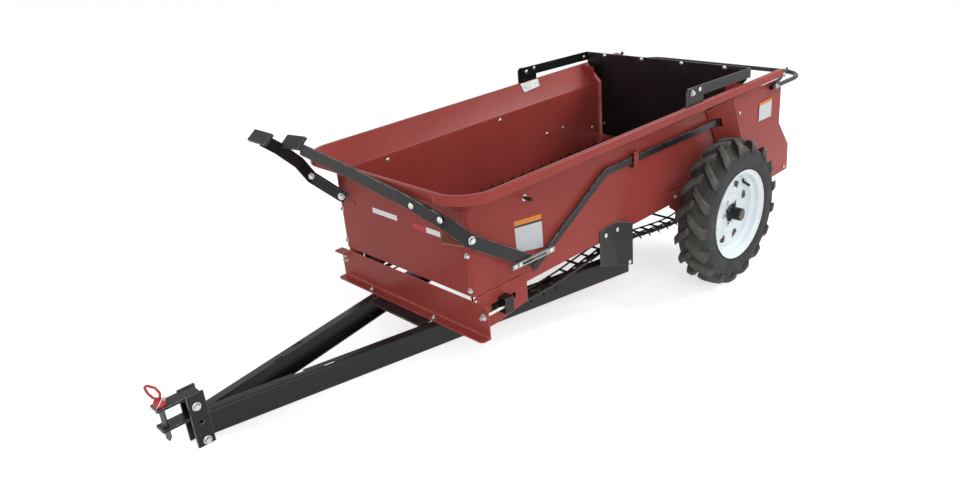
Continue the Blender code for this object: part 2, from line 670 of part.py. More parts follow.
def build_apron(root):
    """The conveyor: two strands of chain round both shafts, and the cross rods that drag the load back.

    Each strand is a band whose cross section stands at both edges of every rod, so that a rod grows from
    the band's inner face as one mesh.
    """
    path = apron_path(8)
    middles = along_path(path, APRON_RODS)
    outer, inner = APRON_HALF, APRON_HALF - STRAND_WIDE
    bm = bmesh.new()
    stations = []
    for k, here in enumerate(middles):
        ahead = (middles[(k + 1) % APRON_RODS] - middles[k - 1]).normalized()
        across = Vector((-ahead.y, ahead.x))
        for along in (-ROD_RADIUS, ROD_RADIUS):
            corners = []
            for x in (-outer, -inner, inner, outer):
                for deep in (-STRAND_DEEP / 2, STRAND_DEEP / 2):
                    y, z = here + ahead * along + across * deep
                    corners.append(bm.verts.new((x, y, z)))
            stations.append(corners)
    for k, first in enumerate(stations):
        second = stations[(k + 1) % len(stations)]
        at_rod = k % 2 == 0
        for low in (0, 4):
            ring = (low, low + 1, low + 3, low + 2)
            inner_face = {2, 3} if low == 0 else {4, 5}
            for i, a in enumerate(ring):
                b = ring[(i + 1) % 4]
                if at_rod and {a, b} == inner_face:
                    continue
                bm.faces.new((first[a], first[b], second[b], second[a]))
        if at_rod:
            rod = ((first[2], first[3], first[5], first[4]), (second[2], second[3], second[5], second[4]),
                   (first[2], second[2], second[4], first[4]), (first[3], second[3], second[5], first[5]))
            for face in rod:
                bm.faces.new(face)
    finish("apron_chain", bm, "steel", root)
    front_half = BOX_HALF + PLATE + TAKEUP_SHAFT_IN
    for name, y, half in (("front", APRON_FRONT, front_half), ("rear", APRON_REAR, BOX_HALF + SHAFT_END)):
        bm = bmesh.new()
        wheels = [-APRON_HALF + STRAND_WIDE / 2, APRON_HALF - STRAND_WIDE / 2]
        profile = [(-half, 0), (-half, SHAFT_RADIUS)]
        for x in wheels:
            profile += [(x - SPROCKET_HALF, SHAFT_RADIUS), (x - SPROCKET_HALF, SPROCKET_RADIUS)]
            profile += [(x + SPROCKET_HALF, SPROCKET_RADIUS), (x + SPROCKET_HALF, SHAFT_RADIUS)]
        profile += [(half, SHAFT_RADIUS), (half, 0)]
        add_lathe(bm, profile, 16, (0, y, SHAFT_Z))
        smooth(finish("apron_shaft_" + name, bm, "black_paint", root))


def tyre_columns():
    """Angles of the tyre's columns: per pitch a left lug, a gap, a right lug and a gap."""
    pitch = 2 * math.pi / LUGS_PER_SIDE
    return [pitch * (k + share) for k in range(LUGS_PER_SIDE) for share in LUG_SHARES]


def build_tyre(name, centre, body):
    """Carcass as a turned band whose columns sweep back to the shoulders, with lugs raised on it."""
    shoulder = CARCASS_RADIUS - SHOULDER_DROP
    mid = CARCASS_RADIUS - SHOULDER_DROP / 4
    side = (BEAD_RADIUS + shoulder) / 2
    half = [(BARREL[0][0] - RUNNING, BEAD_RADIUS, 0), (SECTION_HALF, side, 0), (TREAD_HALF, shoulder, 1.0)]
    half += [(TREAD_HALF / 2, mid, 0.5)]
    profile = [(-x, r, s) for x, r, s in half] + [(0, CARCASS_RADIUS, 0)] + half[::-1]
    lug_top = [TYRE_RADIUS - LUG_TAPER, TYRE_RADIUS - LUG_CROWN, TYRE_RADIUS]
    columns = tyre_columns()
    bm = bmesh.new()

    def vertex(x, radius, sweep, angle):
        turn = angle + sweep * LUG_SWEEP
        return bm.verts.new((centre[0] + x, centre[1] - radius * math.sin(turn),
                             centre[2] + radius * math.cos(turn)))

    grid = [[vertex(x, r, s, a) for x, r, s in profile] for a in columns]
    count, wide = len(columns), len(profile)
    for i in range(count):
        after = (i + 1) % count
        left_lug, right_lug = i % 4 == 0, i % 4 == 2
        for j in range(wide):
            raised = (left_lug and j in (2, 3)) or (right_lug and j in (4, 5))
            if not raised:
                beside = (j + 1) % wide
                bm.faces.new((grid[i][j], grid[i][beside], grid[after][beside], grid[after][j]))
        if not (left_lug or right_lug):
            continue
        rows = [2, 3, 4] if left_lug else [6, 5, 4]
        tops = []
        for column, angle in ((i, columns[i]), (after, columns[i] + columns[1])):
            tops.append([vertex(profile[j][0], top, profile[j][2], angle) for j, top in zip(rows, lug_top)])
        for k in range(2):
            bm.faces.new((tops[0][k], tops[0][k + 1], tops[1][k + 1], tops[1][k]))
            for end, column in ((0, i), (1, after)):
                low, high = grid[column][rows[k]], grid[column][rows[k + 1]]
                bm.faces.new((low, high, tops[end][k + 1], tops[end][k]))
        for k in (0, 2):
            bm.faces.new((grid[i][rows[k]], grid[after][rows[k]], tops[1][k], tops[0][k]))
    return finish(name, bm, "tyre_rubber", body)


def build_wheel(side, sign, root):
    """Tyre, spoked rim and hub, which turn together on the axle."""
    x = sign * TRACK_HALF
    body = empty("wheel_" + side, root, (x, 0, TYRE_RADIUS))
    build_tyre("tyre_" + side, (x, 0, TYRE_RADIUS), body)
    w = RIM_WALL
    seat = BEAD_RADIUS - SEAT
    outer = [(RIM_HALF, RIM_FLANGE_RADIUS)] + [(a, seat - deep) for a, deep in BARREL]
    barrel = outer + [(-a, r) for a, r in reversed(outer)]
    inside = [(-RIM_HALF - w, RIM_FLANGE_RADIUS), (-BARREL[0][0] - w, seat - w),
              (-BARREL[1][0] - BARREL_WALLS[0], seat - BARREL[1][1] - w),
              (-BARREL[2][0] - BARREL_WALLS[1], seat - BARREL[2][1] - w)]
    well = inside[-1][1]
    bore = HUB_RADIUS + SEAT
    face = DISC_OFFSET
    ring = face - DISC_DISH
    disc = [(ring + SEAT, well), (ring, DISC_RING_RADIUS), (face, DISC_BEND_RADIUS), (face, bore),
            (face + w, bore), (face + w, DISC_BEND_RADIUS + w / 3), (ring + w, DISC_RING_RADIUS + w / 2),
            (ring + w + SEAT, well)]
    outside = [(-a, r) for a, r in reversed(inside)]
    profile = [(sign * a, r) for a, r in barrel + inside + disc + outside]
    bm = bmesh.new()
    add_lathe(bm, profile, 32, (x, 0, TYRE_RADIUS))
    rim = finish("rim_" + side, bm, "white_rim", body)
    bm = bmesh.new()
    for k in range(WINDOWS):
        middle = 2 * math.pi * (k + 0.5) / WINDOWS
        a = WINDOW_HALF_ANGLE
        corners = [(WINDOW_INNER, -a), (WINDOW_OUTER, -a), (WINDOW_OUTER, a), (WINDOW_INNER, a)]
        window = [(r * math.sin(middle + t), TYRE_RADIUS + r * math.cos(middle + t)) for r, t in corners]
        reach = sorted((x + sign * (ring - CUT), x + sign * (face + w + CUT)))
        add_prism(bm, window, "x", reach[0], reach[1])
    combine(rim, cutter(body)(bm), "DIFFERENCE")
    smooth(rim)
    hole = AXLE_RADIUS + RUNNING
    profile = [(-HUB_INNER_END, hole), (-HUB_INNER_END, HUB_RADIUS), (face - HUB_FLANGE, HUB_RADIUS),
               (face - HUB_FLANGE, HUB_FLANGE_RADIUS), (face - SEAT, HUB_FLANGE_RADIUS),
               (face - SEAT, HUB_RADIUS), (HUB_END, HUB_RADIUS), (HUB_END, 0), (HUB_END - HUB_CAP, 0),
               (HUB_END - HUB_CAP, hole)]
    bm = bmesh.new()
    add_lathe(bm, [(sign * a, r) for a, r in profile], 24, (x, 0, TYRE_RADIUS))
    smooth(finish("hub_" + side, bm, "black_paint", body))


def build_axle(root):
    """Through axle and the plates under the box that carry it and the apron's rear shaft."""
    half = TRACK_HALF + HUB_END - HUB_CAP - AXLE_END_GAP
    bm = bmesh.new()
    add_prism(bm, circle(AXLE_RADIUS, 20, (0, TYRE_RADIUS)), "x", -half, half)
    smooth(finish("axle", bm, "steel", root))
    rear = BOX_REAR + AXLE_PLATE_PAST
    heel = AXLE_PLATE_HEEL - AXLE_PLATE_FOOT
    for side, sign in (("left", 1), ("right", -1)):
        near = sign * (BOX_HALF + SEAT)
        far = sign * (BOX_HALF + SEAT + PLATE)
        outline = AXLE_PLATE + [(rear - heel, AXLE_PLATE_FOOT), (rear, AXLE_PLATE_HEEL)]
        outline.append((rear, AXLE_PLATE_TOP))
        bm = bmesh.new()
        add_prism(bm, outline, "x", min(near, far), max(near, far))
        plate = finish("axle_plate_" + side, bm, "red_paint", root)
        holes = [(0, TYRE_RADIUS, AXLE_RADIUS + SEAT), (APRON_REAR, SHAFT_Z, SHAFT_RADIUS + SEAT)]
        drill(plate, root, holes, "x", near - sign * CUT, far + sign * CUT)


def build_hangers(root):
    """Formed plates that hang the channels' rear ends from the box's sides."""
    for side, sign in (("left", 1), ("right", -1)):
        inner = BOX_HALF + SEAT
        slope = (TONGUE_END_X - TONGUE_TIP_X) / (TONGUE_END_Y - TONGUE_TIP_Y)
        bend = TONGUE_TIP_Y + (BOX_HALF - TONGUE_TIP_X) / slope
        rear = TONGUE_END_Y + HANGER_PAST
        # Plan of the plate: flat on the box, then bent out to run along the channel's web.
        plan = [(TONGUE_END_Y - HANGER_LONG, inner), (bend, inner), (rear, inner + (rear - bend) * slope)]
        bm = bmesh.new()
        rings = []
        for (y, x), z0, z1 in zip(plan, HANGER_LOW, HANGER_HIGH):
            corners = [(x, z0), (x + PLATE, z0), (x + PLATE, z1), (x, z1)]
            rings.append([bm.verts.new((sign * a, y, z)) for a, z in corners])
        quads(bm, rings, False)
        bm.faces.new(rings[0])
        bm.faces.new(rings[-1])
        finish("hanger_" + side, bm, "black_paint", root)


def build_beater(root):
    """Tube with staggered paddles that throws the load off the apron's end."""
    body = empty("beater", root, (0, BEATER_Y, BEATER_Z))
    inner = BOX_HALF - SHEET - BEATER_END_GAP
    stub = BOX_HALF + BEATER_STUB
    profile = [(-stub, 0), (-stub, SHAFT_RADIUS), (-inner, SHAFT_RADIUS), (-inner, BEATER_TUBE)]
    profile += [(-a, r) for a, r in reversed(profile)]
    bm = bmesh.new()
    add_lathe(bm, profile, 16, (0, BEATER_Y, BEATER_Z))
    tube = finish("beater_rotor", bm, "black_paint", body)
    bm = bmesh.new()
    spacing = 2 * (inner - PADDLE_MARGIN) / (PADDLES - 1)
    for k in range(PADDLES):
        x = -inner + PADDLE_MARGIN + k * spacing
        blade = bmesh.new()
        add_box(blade, x - PADDLE_WIDE / 2, x + PADDLE_WIDE / 2, -PADDLE_THICK / 2, PADDLE_THICK / 2,
                SHAFT_RADIUS / 2, BEATER_RADIUS)
        turned = Matrix.Rotation(PADDLE_TURN * k, 4, "X")
        blade.transform(Matrix.Translation((0, BEATER_Y, BEATER_Z)) @ turned)
        mesh = bpy.data.meshes.new("paddle")
        blade.to_mesh(mesh)
        blade.free()
        bm.from_mesh(mesh)
        bpy.data.meshes.remove(mesh)
    combine(tube, cutter(body)(bm), "UNION")
    smooth(tube)


def build_end_gate(root):
    """Gate panel on its U-shaped frame, and the brackets on the rim that it swings from."""
    body = empty("end_gate", root, (0, GATE_HINGE_Y, GATE_HINGE_Z))
    tail = GATE_HINGE_Y - ARM_TAIL
    bar_y = GATE_Y + GATE_PLATE + SEAT + ARM_THICK / 2
    bm = bmesh.new()
    half_tall = ARM_TALL / 2
    add_box(bm, -ARM_X, ARM_X, bar_y - ARM_THICK / 2, bar_y + ARM_THICK / 2,
            ARM_REAR_Z - half_tall, ARM_REAR_Z + half_tall)
    frame = finish("gate_frame", bm, "black_paint", body)
    end = bar_y + ARM_THICK / 2
    outline = [(tail, GATE_HINGE_Z - half_tall), (end, ARM_REAR_Z - half_tall),
               (end, ARM_REAR_Z + half_tall), (tail, GATE_HINGE_Z + half_tall)]
    bm = bmesh.new()
    for sign in (1, -1):
        xs = sorted((sign * (ARM_X - ARM_THICK / 2), sign * (ARM_X + ARM_THICK / 2)))
        add_prism(bm, outline, "x", xs[0], xs[1])
    combine(frame, cutter(body)(bm), "UNION")
    reach = ARM_X + CUT
    drill(frame, body, [(GATE_HINGE_Y, GATE_HINGE_Z, HINGE_PIN_RADIUS + RUNNING)], "x", -reach, reach)
    bm = bmesh.new()
    h, c = GATE_HALF, GATE_CORNER
    outline = [(-h, GATE_LOW + c), (-h + c, GATE_LOW), (h - c, GATE_LOW), (h, GATE_LOW + c),
               (h, GATE_TOP), (-h, GATE_TOP)]
    add_prism(bm, outline, "y", GATE_Y, GATE_Y + GATE_PLATE)
    finish("gate_panel", bm, "black_paint", body)
    for side, sign in (("left", 1), ("right", -1)):
        inner = ARM_X + ARM_THICK / 2 + RUNNING
        outline = [(GATE_HINGE_Y + a, RIM_Z + b) for a, b in GATE_BRACKET]
        bm = bmesh.new()
        xs = sorted((sign * inner, sign * (inner + PLATE)))
        add_prism(bm, outline, "x", xs[0], xs[1])
        bracket = finish("gate_bracket_" + side, bm, "black_paint", root)
        bm = bmesh.new()
        pin = circle(HINGE_PIN_RADIUS, 16, (GATE_HINGE_Y, GATE_HINGE_Z))
        ends = sorted((sign * (inner + PLATE / 2), sign * (ARM_X - ARM_THICK / 2 - HINGE_PIN_OUT)))
        add_prism(bm, pin, "x", ends[0], ends[1])
        combine(bracket, cutter(root)(bm), "UNION")


def build_shields(root):
    """Folded sheets over the drive at the box's rear corners, with a notch for the control strap."""
    wall_x = BOX_HALF + PLATE + 2 * SEAT + SHEET
    for side, sign in (("left", 1), ("right", -1)):
        bm = bmesh.new()
        wall = [bm.verts.new((sign * wall_x, y, z)) for y, z, _, _ in SHIELD_FRONT]
        fold = [bm.verts.new((sign * SHIELD_X, y, z)) for _, _, y, z in SHIELD_FRONT]
        rest = [bm.verts.new((sign * SHIELD_X, y, z)) for y, z in SHIELD_EDGE]
        for k in range(2):
            bm.faces.new((wall[k], wall[k + 1], fold[k + 1], fold[k]))
        bm.faces.new(fold + rest)
        bmesh.ops.recalc_face_normals(bm, faces=bm.faces)
        if (bm.faces[:][-1].normal.x * sign) < 0:
            bmesh.ops.reverse_faces(bm, faces=bm.faces[:])
        mesh = bpy.data.meshes.new("drive_shield_" + side)
        bm.to_mesh(mesh)
        bm.free()
        shield = bpy.data.objects.new("drive_shield_" + side, mesh)
        bpy.context.scene.collection.objects.link(shield)
        shield.parent = root
        mesh.materials.append(material("red_paint"))
        thicken(shield)
        bm = bmesh.new()
        xs = sorted((sign * (BOX_HALF - SHEET), sign * (BOX_HALF + NOTCH_OUT)))
        end_y, end_z = STRAP_PATH[-1]
        add_box(bm, xs[0], xs[1], end_y + NOTCH_PAST - NOTCH_LONG, end_y + NOTCH_PAST,
                end_z - NOTCH_HALF_TALL, end_z + NOTCH_HALF_TALL)
        combine(shield, cutter(root)(bm), "DIFFERENCE")


def build_guard(root):
    """Tube bent round the rear of the box, fastened outside the shields."""
    x = SHIELD_X + GUARD_RADIUS + 2 * SEAT
    path = [(x, GUARD_FRONT, GUARD_Z)]
    steps = 5
    for k in range(steps + 1):
        turn = math.pi / 2 * k / steps
        path.append((x - GUARD_BEND + GUARD_BEND * math.cos(turn),
                     GUARD_REAR - GUARD_BEND + GUARD_BEND * math.sin(turn), GUARD_Z))
    path += [(-a, b, c) for a, b, c in reversed(path)]
    bm = bmesh.new()
    add_sweep(bm, path, circle(GUARD_RADIUS, 10))
    smooth(finish("rear_guard", bm, "black_paint", root))


def build_controls(root):
    """Two hand levers at the front right corner, their links, and the straps back to the drive."""
    bar = rectangle(LEVER_THICK, LEVER_TALL)
    path = [(side * (BOX_HALF + out), FRONT_RIM_Y + back, z) for side, out, back, z in UPPER_LEVER]
    bm = bmesh.new()
    add_sweep(bm, path, bar)
    # The bar twists where it turns the corner, so its faces are split to stay flat.
    bmesh.ops.triangulate(bm, faces=bm.faces)
    upper = finish("lever_upper", bm, "black_paint", root)
    x, y, z = path[0]
    grip = UPPER_GRIP
    bm = bmesh.new()
    add_box(bm, x - grip["outward"], x + grip["inward"], y - grip["half_long"], y + grip["half_long"],
            z - grip["below"], z + grip["above"])
    combine(upper, cutter(root)(bm), "UNION")
    bm = bmesh.new()
    pivot = (FRONT_RIM_Y + UPPER_PIVOT[0], UPPER_PIVOT[1])
    add_prism(bm, circle(PIVOT_RADIUS, 16, pivot), "x", BOX_HALF + SEAT, BOX_HALF + LEVER_OUT)
    combine(upper, cutter(root)(bm), "UNION")
    x = -BOX_HALF - LEVER_OUT
    path = [(x, FRONT_RIM_Y + back, z) for back, z in LOWER_LEVER]
    bm = bmesh.new()
    add_sweep(bm, path, bar)
    lower = finish("lever_lower", bm, "black_paint", root)
    _, y, z = path[-1]
    grip = LOWER_GRIP
    bm = bmesh.new()
    add_box(bm, x - grip["half_wide"], x + grip["half_wide"], y - grip["ahead"], y + grip["behind"],
            z - grip["below"], z + grip["above"])
    combine(lower, cutter(root)(bm), "UNION")
    bm = bmesh.new()
    add_prism(bm, circle(PIVOT_RADIUS, 16, path[1][1:]), "x", x, -BOX_HALF - SEAT)
    combine(lower, cutter(root)(bm), "UNION")
    bm = bmesh.new()
    out, back, height = LOWER_ARM
    add_sweep(bm, [path[2], (-BOX_HALF - out, FRONT_RIM_Y + back, height)], bar)
    combine(lower, cutter(root)(bm), "UNION")
    for side, sign in (("left", 1), ("right", -1)):
        bm = bmesh.new()
        mid = STRAP_X + STRAP_THICK / 2
        add_sweep(bm, [(sign * mid, y, z) for y, z in STRAP_PATH], rectangle(STRAP_THICK, STRAP_TALL))
        finish("control_strap_" + side, bm, "black_paint", root)
        face = BOX_HALF + LEVER_OUT + LEVER_THICK / 2 + SEAT
        xs = sorted((sign * face, sign * (face + LINK_THICK)))
        bm = bmesh.new()
        add_prism(bm, [(FRONT_RIM_Y + back, z) for back, z in LINK], "x", xs[0], xs[1])
        link = finish("control_link_" + side, bm, "zinc", root)
        bm = bmesh.new()
        ends = sorted((sign * (STRAP_X + STRAP_THICK + SEAT), sign * (face + LINK_THICK / 2)))
        pin = (FRONT_RIM_Y + LINK_PIN[0], LINK_PIN[1])
        add_prism(bm, circle(LINK_PIN_RADIUS, 12, pin), "x", ends[0], ends[1])
        combine(link, cutter(root)(bm), "UNION")


def park(root):
    """Tips the machine about its axle until the cheeks' feet reach the ground, then centres its box."""
    reach = math.hypot(CHEEK_FRONT, TYRE_RADIUS - CHEEK_LOW)
    drop = math.atan2(TYRE_RADIUS - CHEEK_LOW, -CHEEK_FRONT)
    root.rotation_euler = (math.asin(TYRE_RADIUS / reach) - drop, 0, 0)
    bpy.context.view_layer.update()
    corners = [made.matrix_world @ vertex.co for made in bpy.data.objects if made.type == "MESH"
               for vertex in made.data.vertices]
    ys = [corner.y for corner in corners]
    root.location = (0, -(min(ys) + max(ys)) / 2, -min(corner.z for corner in corners))


def main():
    clear_scene()
    root = empty("spreader")
    build_box(root)
    build_tongue(root)
    build_hitch(root)
    build_bolster(root)
    build_apron(root)
    build_axle(root)
    for side, sign in (("left", 1), ("right", -1)):
        build_wheel(side, sign, root)
    build_hangers(root)
    build_beater(root)
    build_end_gate(root)
    build_shields(root)
    build_guard(root)
    build_controls(root)
    park(root)


main()
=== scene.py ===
"""Looks of a ground-driven manure spreader: its finer pieces, finishes, floor, light and camera.

Pieces are drawn as the machine stands level, in metres: x to its left, y to its rear from the axle, z up from
the ground under the wheels. placed() then tips them with the frame, which rests on its hitch.
"""

import math

import bmesh
import bpy
import numpy as np
from bpy.props import FloatProperty, FloatVectorProperty, IntProperty, PointerProperty
from mathutils import Matrix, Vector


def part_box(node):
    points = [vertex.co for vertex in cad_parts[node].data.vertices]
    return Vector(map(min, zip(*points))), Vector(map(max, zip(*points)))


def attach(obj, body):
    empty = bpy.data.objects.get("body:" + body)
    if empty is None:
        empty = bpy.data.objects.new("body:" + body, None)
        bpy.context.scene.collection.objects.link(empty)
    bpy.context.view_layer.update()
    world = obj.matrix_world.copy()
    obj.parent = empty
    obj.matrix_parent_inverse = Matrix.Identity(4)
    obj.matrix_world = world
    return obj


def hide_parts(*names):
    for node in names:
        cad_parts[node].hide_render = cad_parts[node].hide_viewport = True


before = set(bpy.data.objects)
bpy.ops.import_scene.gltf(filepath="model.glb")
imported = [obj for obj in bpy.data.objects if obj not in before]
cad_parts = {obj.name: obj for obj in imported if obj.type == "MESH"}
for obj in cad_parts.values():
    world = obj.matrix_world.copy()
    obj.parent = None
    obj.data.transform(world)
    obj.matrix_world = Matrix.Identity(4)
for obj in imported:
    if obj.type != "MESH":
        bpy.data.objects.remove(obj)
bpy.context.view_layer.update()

bl_info = {
    "name": "Manure Spreader",
    "version": (1, 0, 0),
    "blender": (4, 5, 0),
    "location": "View3D > Sidebar > Spreader",
    "description": "Builds the visible pieces and finishes of a ground-driven manure spreader",
    "category": "Object",
}


def middle(node):
    low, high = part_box(node)
    return np.array((low + high) / 2)


# The frame's own axle and apron shafts say where the machine stands and how far it is tipped.
AXLE = middle("hub_left")
SHAFT_SPAN = middle("apron_shaft_rear") - middle("apron_shaft_front")
TILT = math.atan2(SHAFT_SPAN[2], SHAFT_SPAN[1])
TYRE_RADIUS = 0.343
TRACK_HALF = abs(middle("tyre_left")[0])

# Box.
SHEET = 0.003
BOX_HALF = 0.4
BOX_BOTTOM = 0.41
BOX_REAR = 0.575
CREASE_Z = 0.795
FRONT_FOOT_Y = -1.476
FRONT_FOOT_Z = 0.457
FRONT_Y = FRONT_FOOT_Y - SHEET
FLOOR_Z = 0.452

# Bolster, apron and what carries them.
BOLSTER_Y = FRONT_FOOT_Y + 0.006
BOLSTER_HALF = 0.461
BOLSTER_TOP = 0.431
BOLSTER_LOW = 0.2973
BOLSTER_FLANGE = 0.041
APRON_FRONT = BOLSTER_Y + 0.129
APRON_REAR = BOX_REAR - 0.135
APRON_HALF = 0.37
APRON_RADIUS = 0.072
APRON_RODS = 55
SHAFT_Z = FLOOR_Z + 0.0038 - APRON_RADIUS
SCREW_X = 0.436

# Tongue and hitch.
CHANNEL_LOW = 0.202
CHANNEL_TALL = 0.095
CHANNEL_FLANGE = 0.04
CHANNEL_WALL = 0.005
TIP = (0.034, -2.3917)
TAIL = (0.415, -0.56)
CHEEK_X = 0.0283
CHEEK_THICK = 0.008
PIN_Y = -2.528
PIN_TOP = 0.3803

# Gate, shields and controls.
HINGE = (-0.208, 0.944)
GATE_Y = 0.281
BRACKET_X = 0.4978
GUARD_X = 0.5045
SHIELD_X = 0.48
LEVER_X = 0.43
UPPER_LEVER = [(-0.352, -1.648, 0.951), (-0.1, -1.632, 0.912), (0.3, -1.606, 0.836),
               (0.42, -1.595, 0.803), (LEVER_X, -1.493, 0.698), (LEVER_X, -1.453, 0.672),
               (LEVER_X, -1.195, 0.506)]
LOWER_LEVER = [(-LEVER_X, -1.195, 0.507), (-LEVER_X, -1.449, 0.675), (-LEVER_X, -1.575, 0.797),
               (-LEVER_X, -1.62, 0.872), (-LEVER_X, -1.7, 0.955), (-LEVER_X, -1.76, 1.005)]
LOWER_ARM_END = (-0.317, -1.5, 0.702)
LOWER_GRIP_END = (-LEVER_X, -1.773, 1.018)
LINK = [(-1.312, 0.515), (-1.0755, 0.509), (-1.0755, 0.53), (-1.312, 0.536)]
LINK_X = (0.4343, 0.4463)
# Grips: the middle of each pad, its long edge and its short edge.
GRIPS = [((-0.413, -1.775, 1.0214), (0.13, 0, 0), (0, 0.043, 0.032)),
         ((-0.3716, -1.662, 0.9783), (0.135, 0, 0.0115), (0, 0.046, 0.038))]

# The drawbar pin's pull loop and wire clip: distance from the pin's axis and height.
PULL_LOOP = [(0.006, 0.405), (0.012, 0.426), (0.0007, 0.448), (-0.0235, 0.4588), (-0.0325, 0.453),
             (-0.0275, 0.429), (-0.013, 0.408)]
CLIP_LINE = [(0.03, 0.412), (0.036, 0.43), (0.024, 0.418), (0.006, 0.393), (-0.0115, 0.368),
             (-0.004, 0.364), (0.004, 0.376)]

# Gussets that close the flare behind, and the gate's wings: outlines of width and height.
GUSSET = [(0.3975, 0.797), (0.4885, 0.8885), (0.3975, 0.8885)]
GATE_WING = [(0.38, 0.8), (0.392, 0.806), (0.478, 0.893), (0.478, 0.944), (0.38, 0.944)]

# The apron's return: share of the way from the rear shaft to the front one, and rise over the straight line.
APRON_RETURN = [(0, 0), (0.135, -0.012), (0.314, -0.029), (0.416, -0.006), (0.5, 0.018), (0.584, 0.032),
                (0.634, 0.033), (0.696, 0.019), (0.764, 0.004), (0.837, -0.003), (0.921, -0.003), (1, 0)]

# Where bolts sit: the box's inner face, and the outer faces of its plates and shields.
BOX_INSIDE = 0.3968
PLATE_OUT = 0.4056
SHIELD_OUT = 0.4833

SIDES = (("left", 1), ("right", -1))
LEFT, RIGHT, AHEAD, BEHIND, UPWARD = (1, 0, 0), (-1, 0, 0), (0, -1, 0), (0, 1, 0), (0, 0, 1)


def in_pairs(bolts):
    """The same bolts on the machine's left and right."""
    return [((sign * x, y, z), (sign * out, *rest), kind, across)
            for sign in (1, -1) for (x, y, z), (out, *rest), kind, across in bolts]


# Bolts by piece: the body they ride on, and each one's place, way out, kind and width across the head.
BOLTS = {
    "box_bolts": ("spreader", [
        *(((x, FRONT_Y, z), AHEAD, "nut", 0.015)
          for x, z in ((-0.386, 0.634), (-0.386, 0.49), (0.386, 0.624), (0.386, 0.482))),
        *(((x, BOLSTER_Y - 0.022, 0.3023), UPWARD, "nut", 0.015) for x in (-0.235, 0.167)),
        ((-BOX_INSIDE, -1.203, 0.77), LEFT, "round", 0.021),
        *in_pairs([
            *(((-BOX_INSIDE, y, z), LEFT, "round", 0.021)
              for y, z in ((-0.5, 0.772), (-0.166, 0.616), (-0.037, 0.616), (0.21, 0.555))),
            *(((PLATE_OUT, y, z), LEFT, "round", 0.021) for y, z in ((-0.703, 0.43), (-0.623, 0.43))),
            *(((PLATE_OUT, y, 0.445), LEFT, "nut", 0.016) for y in (-0.19, 0.2, 0.54)),
            *(((SHIELD_OUT, y, z), LEFT, "round", 0.015) for y, z in ((0.227, 0.7495), (0.7115, 0.3419))),
            ((0.4205, -0.556, 0.254), LEFT, "round", 0.021),
            ((SCREW_X, BOLSTER_Y, SHAFT_Z), AHEAD, "hex", 0.019),
            ((SCREW_X, BOLSTER_Y + 0.0053, SHAFT_Z), BEHIND, "hex", 0.019)])]),
    "gate_bolts": ("end_gate", [
        *(((x, GATE_Y, 0.941), AHEAD, "round", 0.023) for x in (-0.36, -0.12, 0.12, 0.36)),
        *(((x, GATE_Y, 0.566), AHEAD, "round", 0.013) for x in (-0.372, 0.372)),
        *in_pairs([
            ((0.482, -0.146, 0.949), RIGHT, "round", 0.02),
            ((0.482, 0.258, 0.928), RIGHT, "round", 0.018)])]),
    "control_bolts": ("spreader", [
        ((0.2715, -1.6165, 0.838), AHEAD, "round", 0.026),
        ((0.409, -1.6065, 0.8135), AHEAD, "round", 0.026),
        ((0.434, -1.493, 0.703), LEFT, "hex", 0.021), ((-0.434, -1.449, 0.675), RIGHT, "hex", 0.02),
        ((-0.427, -1.579, 0.803), (0.55, -0.83, 0), "hex", 0.02),
        ((-0.329, -1.512, 0.712), (0.55, -0.83, 0), "hex", 0.02),
        *in_pairs([
            ((BRACKET_X, *HINGE), LEFT, "hex", 0.018), ((0.478, *HINGE), RIGHT, "round", 0.021),
            ((BRACKET_X, -0.15, 0.949), LEFT, "round", 0.02),
            *(((GUARD_X, y, z), LEFT, "nut", 0.016) for y, z in ((0.532, 0.814), (0.597, 0.855))),
            *(((LINK_X[1], y, z), LEFT, "round", 0.017)
              for y, z in ((-1.296, 0.5255), (-1.268, 0.5245), (-1.094, 0.5195))),
            *(((CHEEK_X + CHEEK_THICK, y, z), LEFT, "hex", 0.021)
              for y, z in ((-2.427, 0.336), (-2.42, 0.196)))])]),
}


def wheel_centre(sign):
    return np.array((sign * TRACK_HALF, 0, TYRE_RADIUS))


def placed(points):
    """Tips level points about the axle by the parking tilt and sets them on the frame's axle."""
    p = np.asarray(points, float)
    y, z = p[..., 1], p[..., 2] - TYRE_RADIUS
    c, s = math.cos(TILT), math.sin(TILT)
    return np.stack([p[..., 0], y * c - z * s + AXLE[1], y * s + z * c + AXLE[2]], -1)


def unit(vectors):
    return vectors / np.linalg.norm(vectors, axis=-1, keepdims=True)


def slot_outline(centre, along, long, wide, steps=8):
    """Corners of a slot: two half circles of half the width, whose centres lie apart along a line."""
    centre, along = np.asarray(centre, float), unit(np.asarray(along, float))
    aside = np.array((-along[1], along[0]))
    turn = np.linspace(-math.pi / 2, math.pi / 2, steps)[:, None]
    end = along * (wide / 2 * np.cos(turn)) + aside * (wide / 2 * np.sin(turn))
    move = along * (long - wide) / 2
    return np.vstack([centre + move + end, centre - move - end])


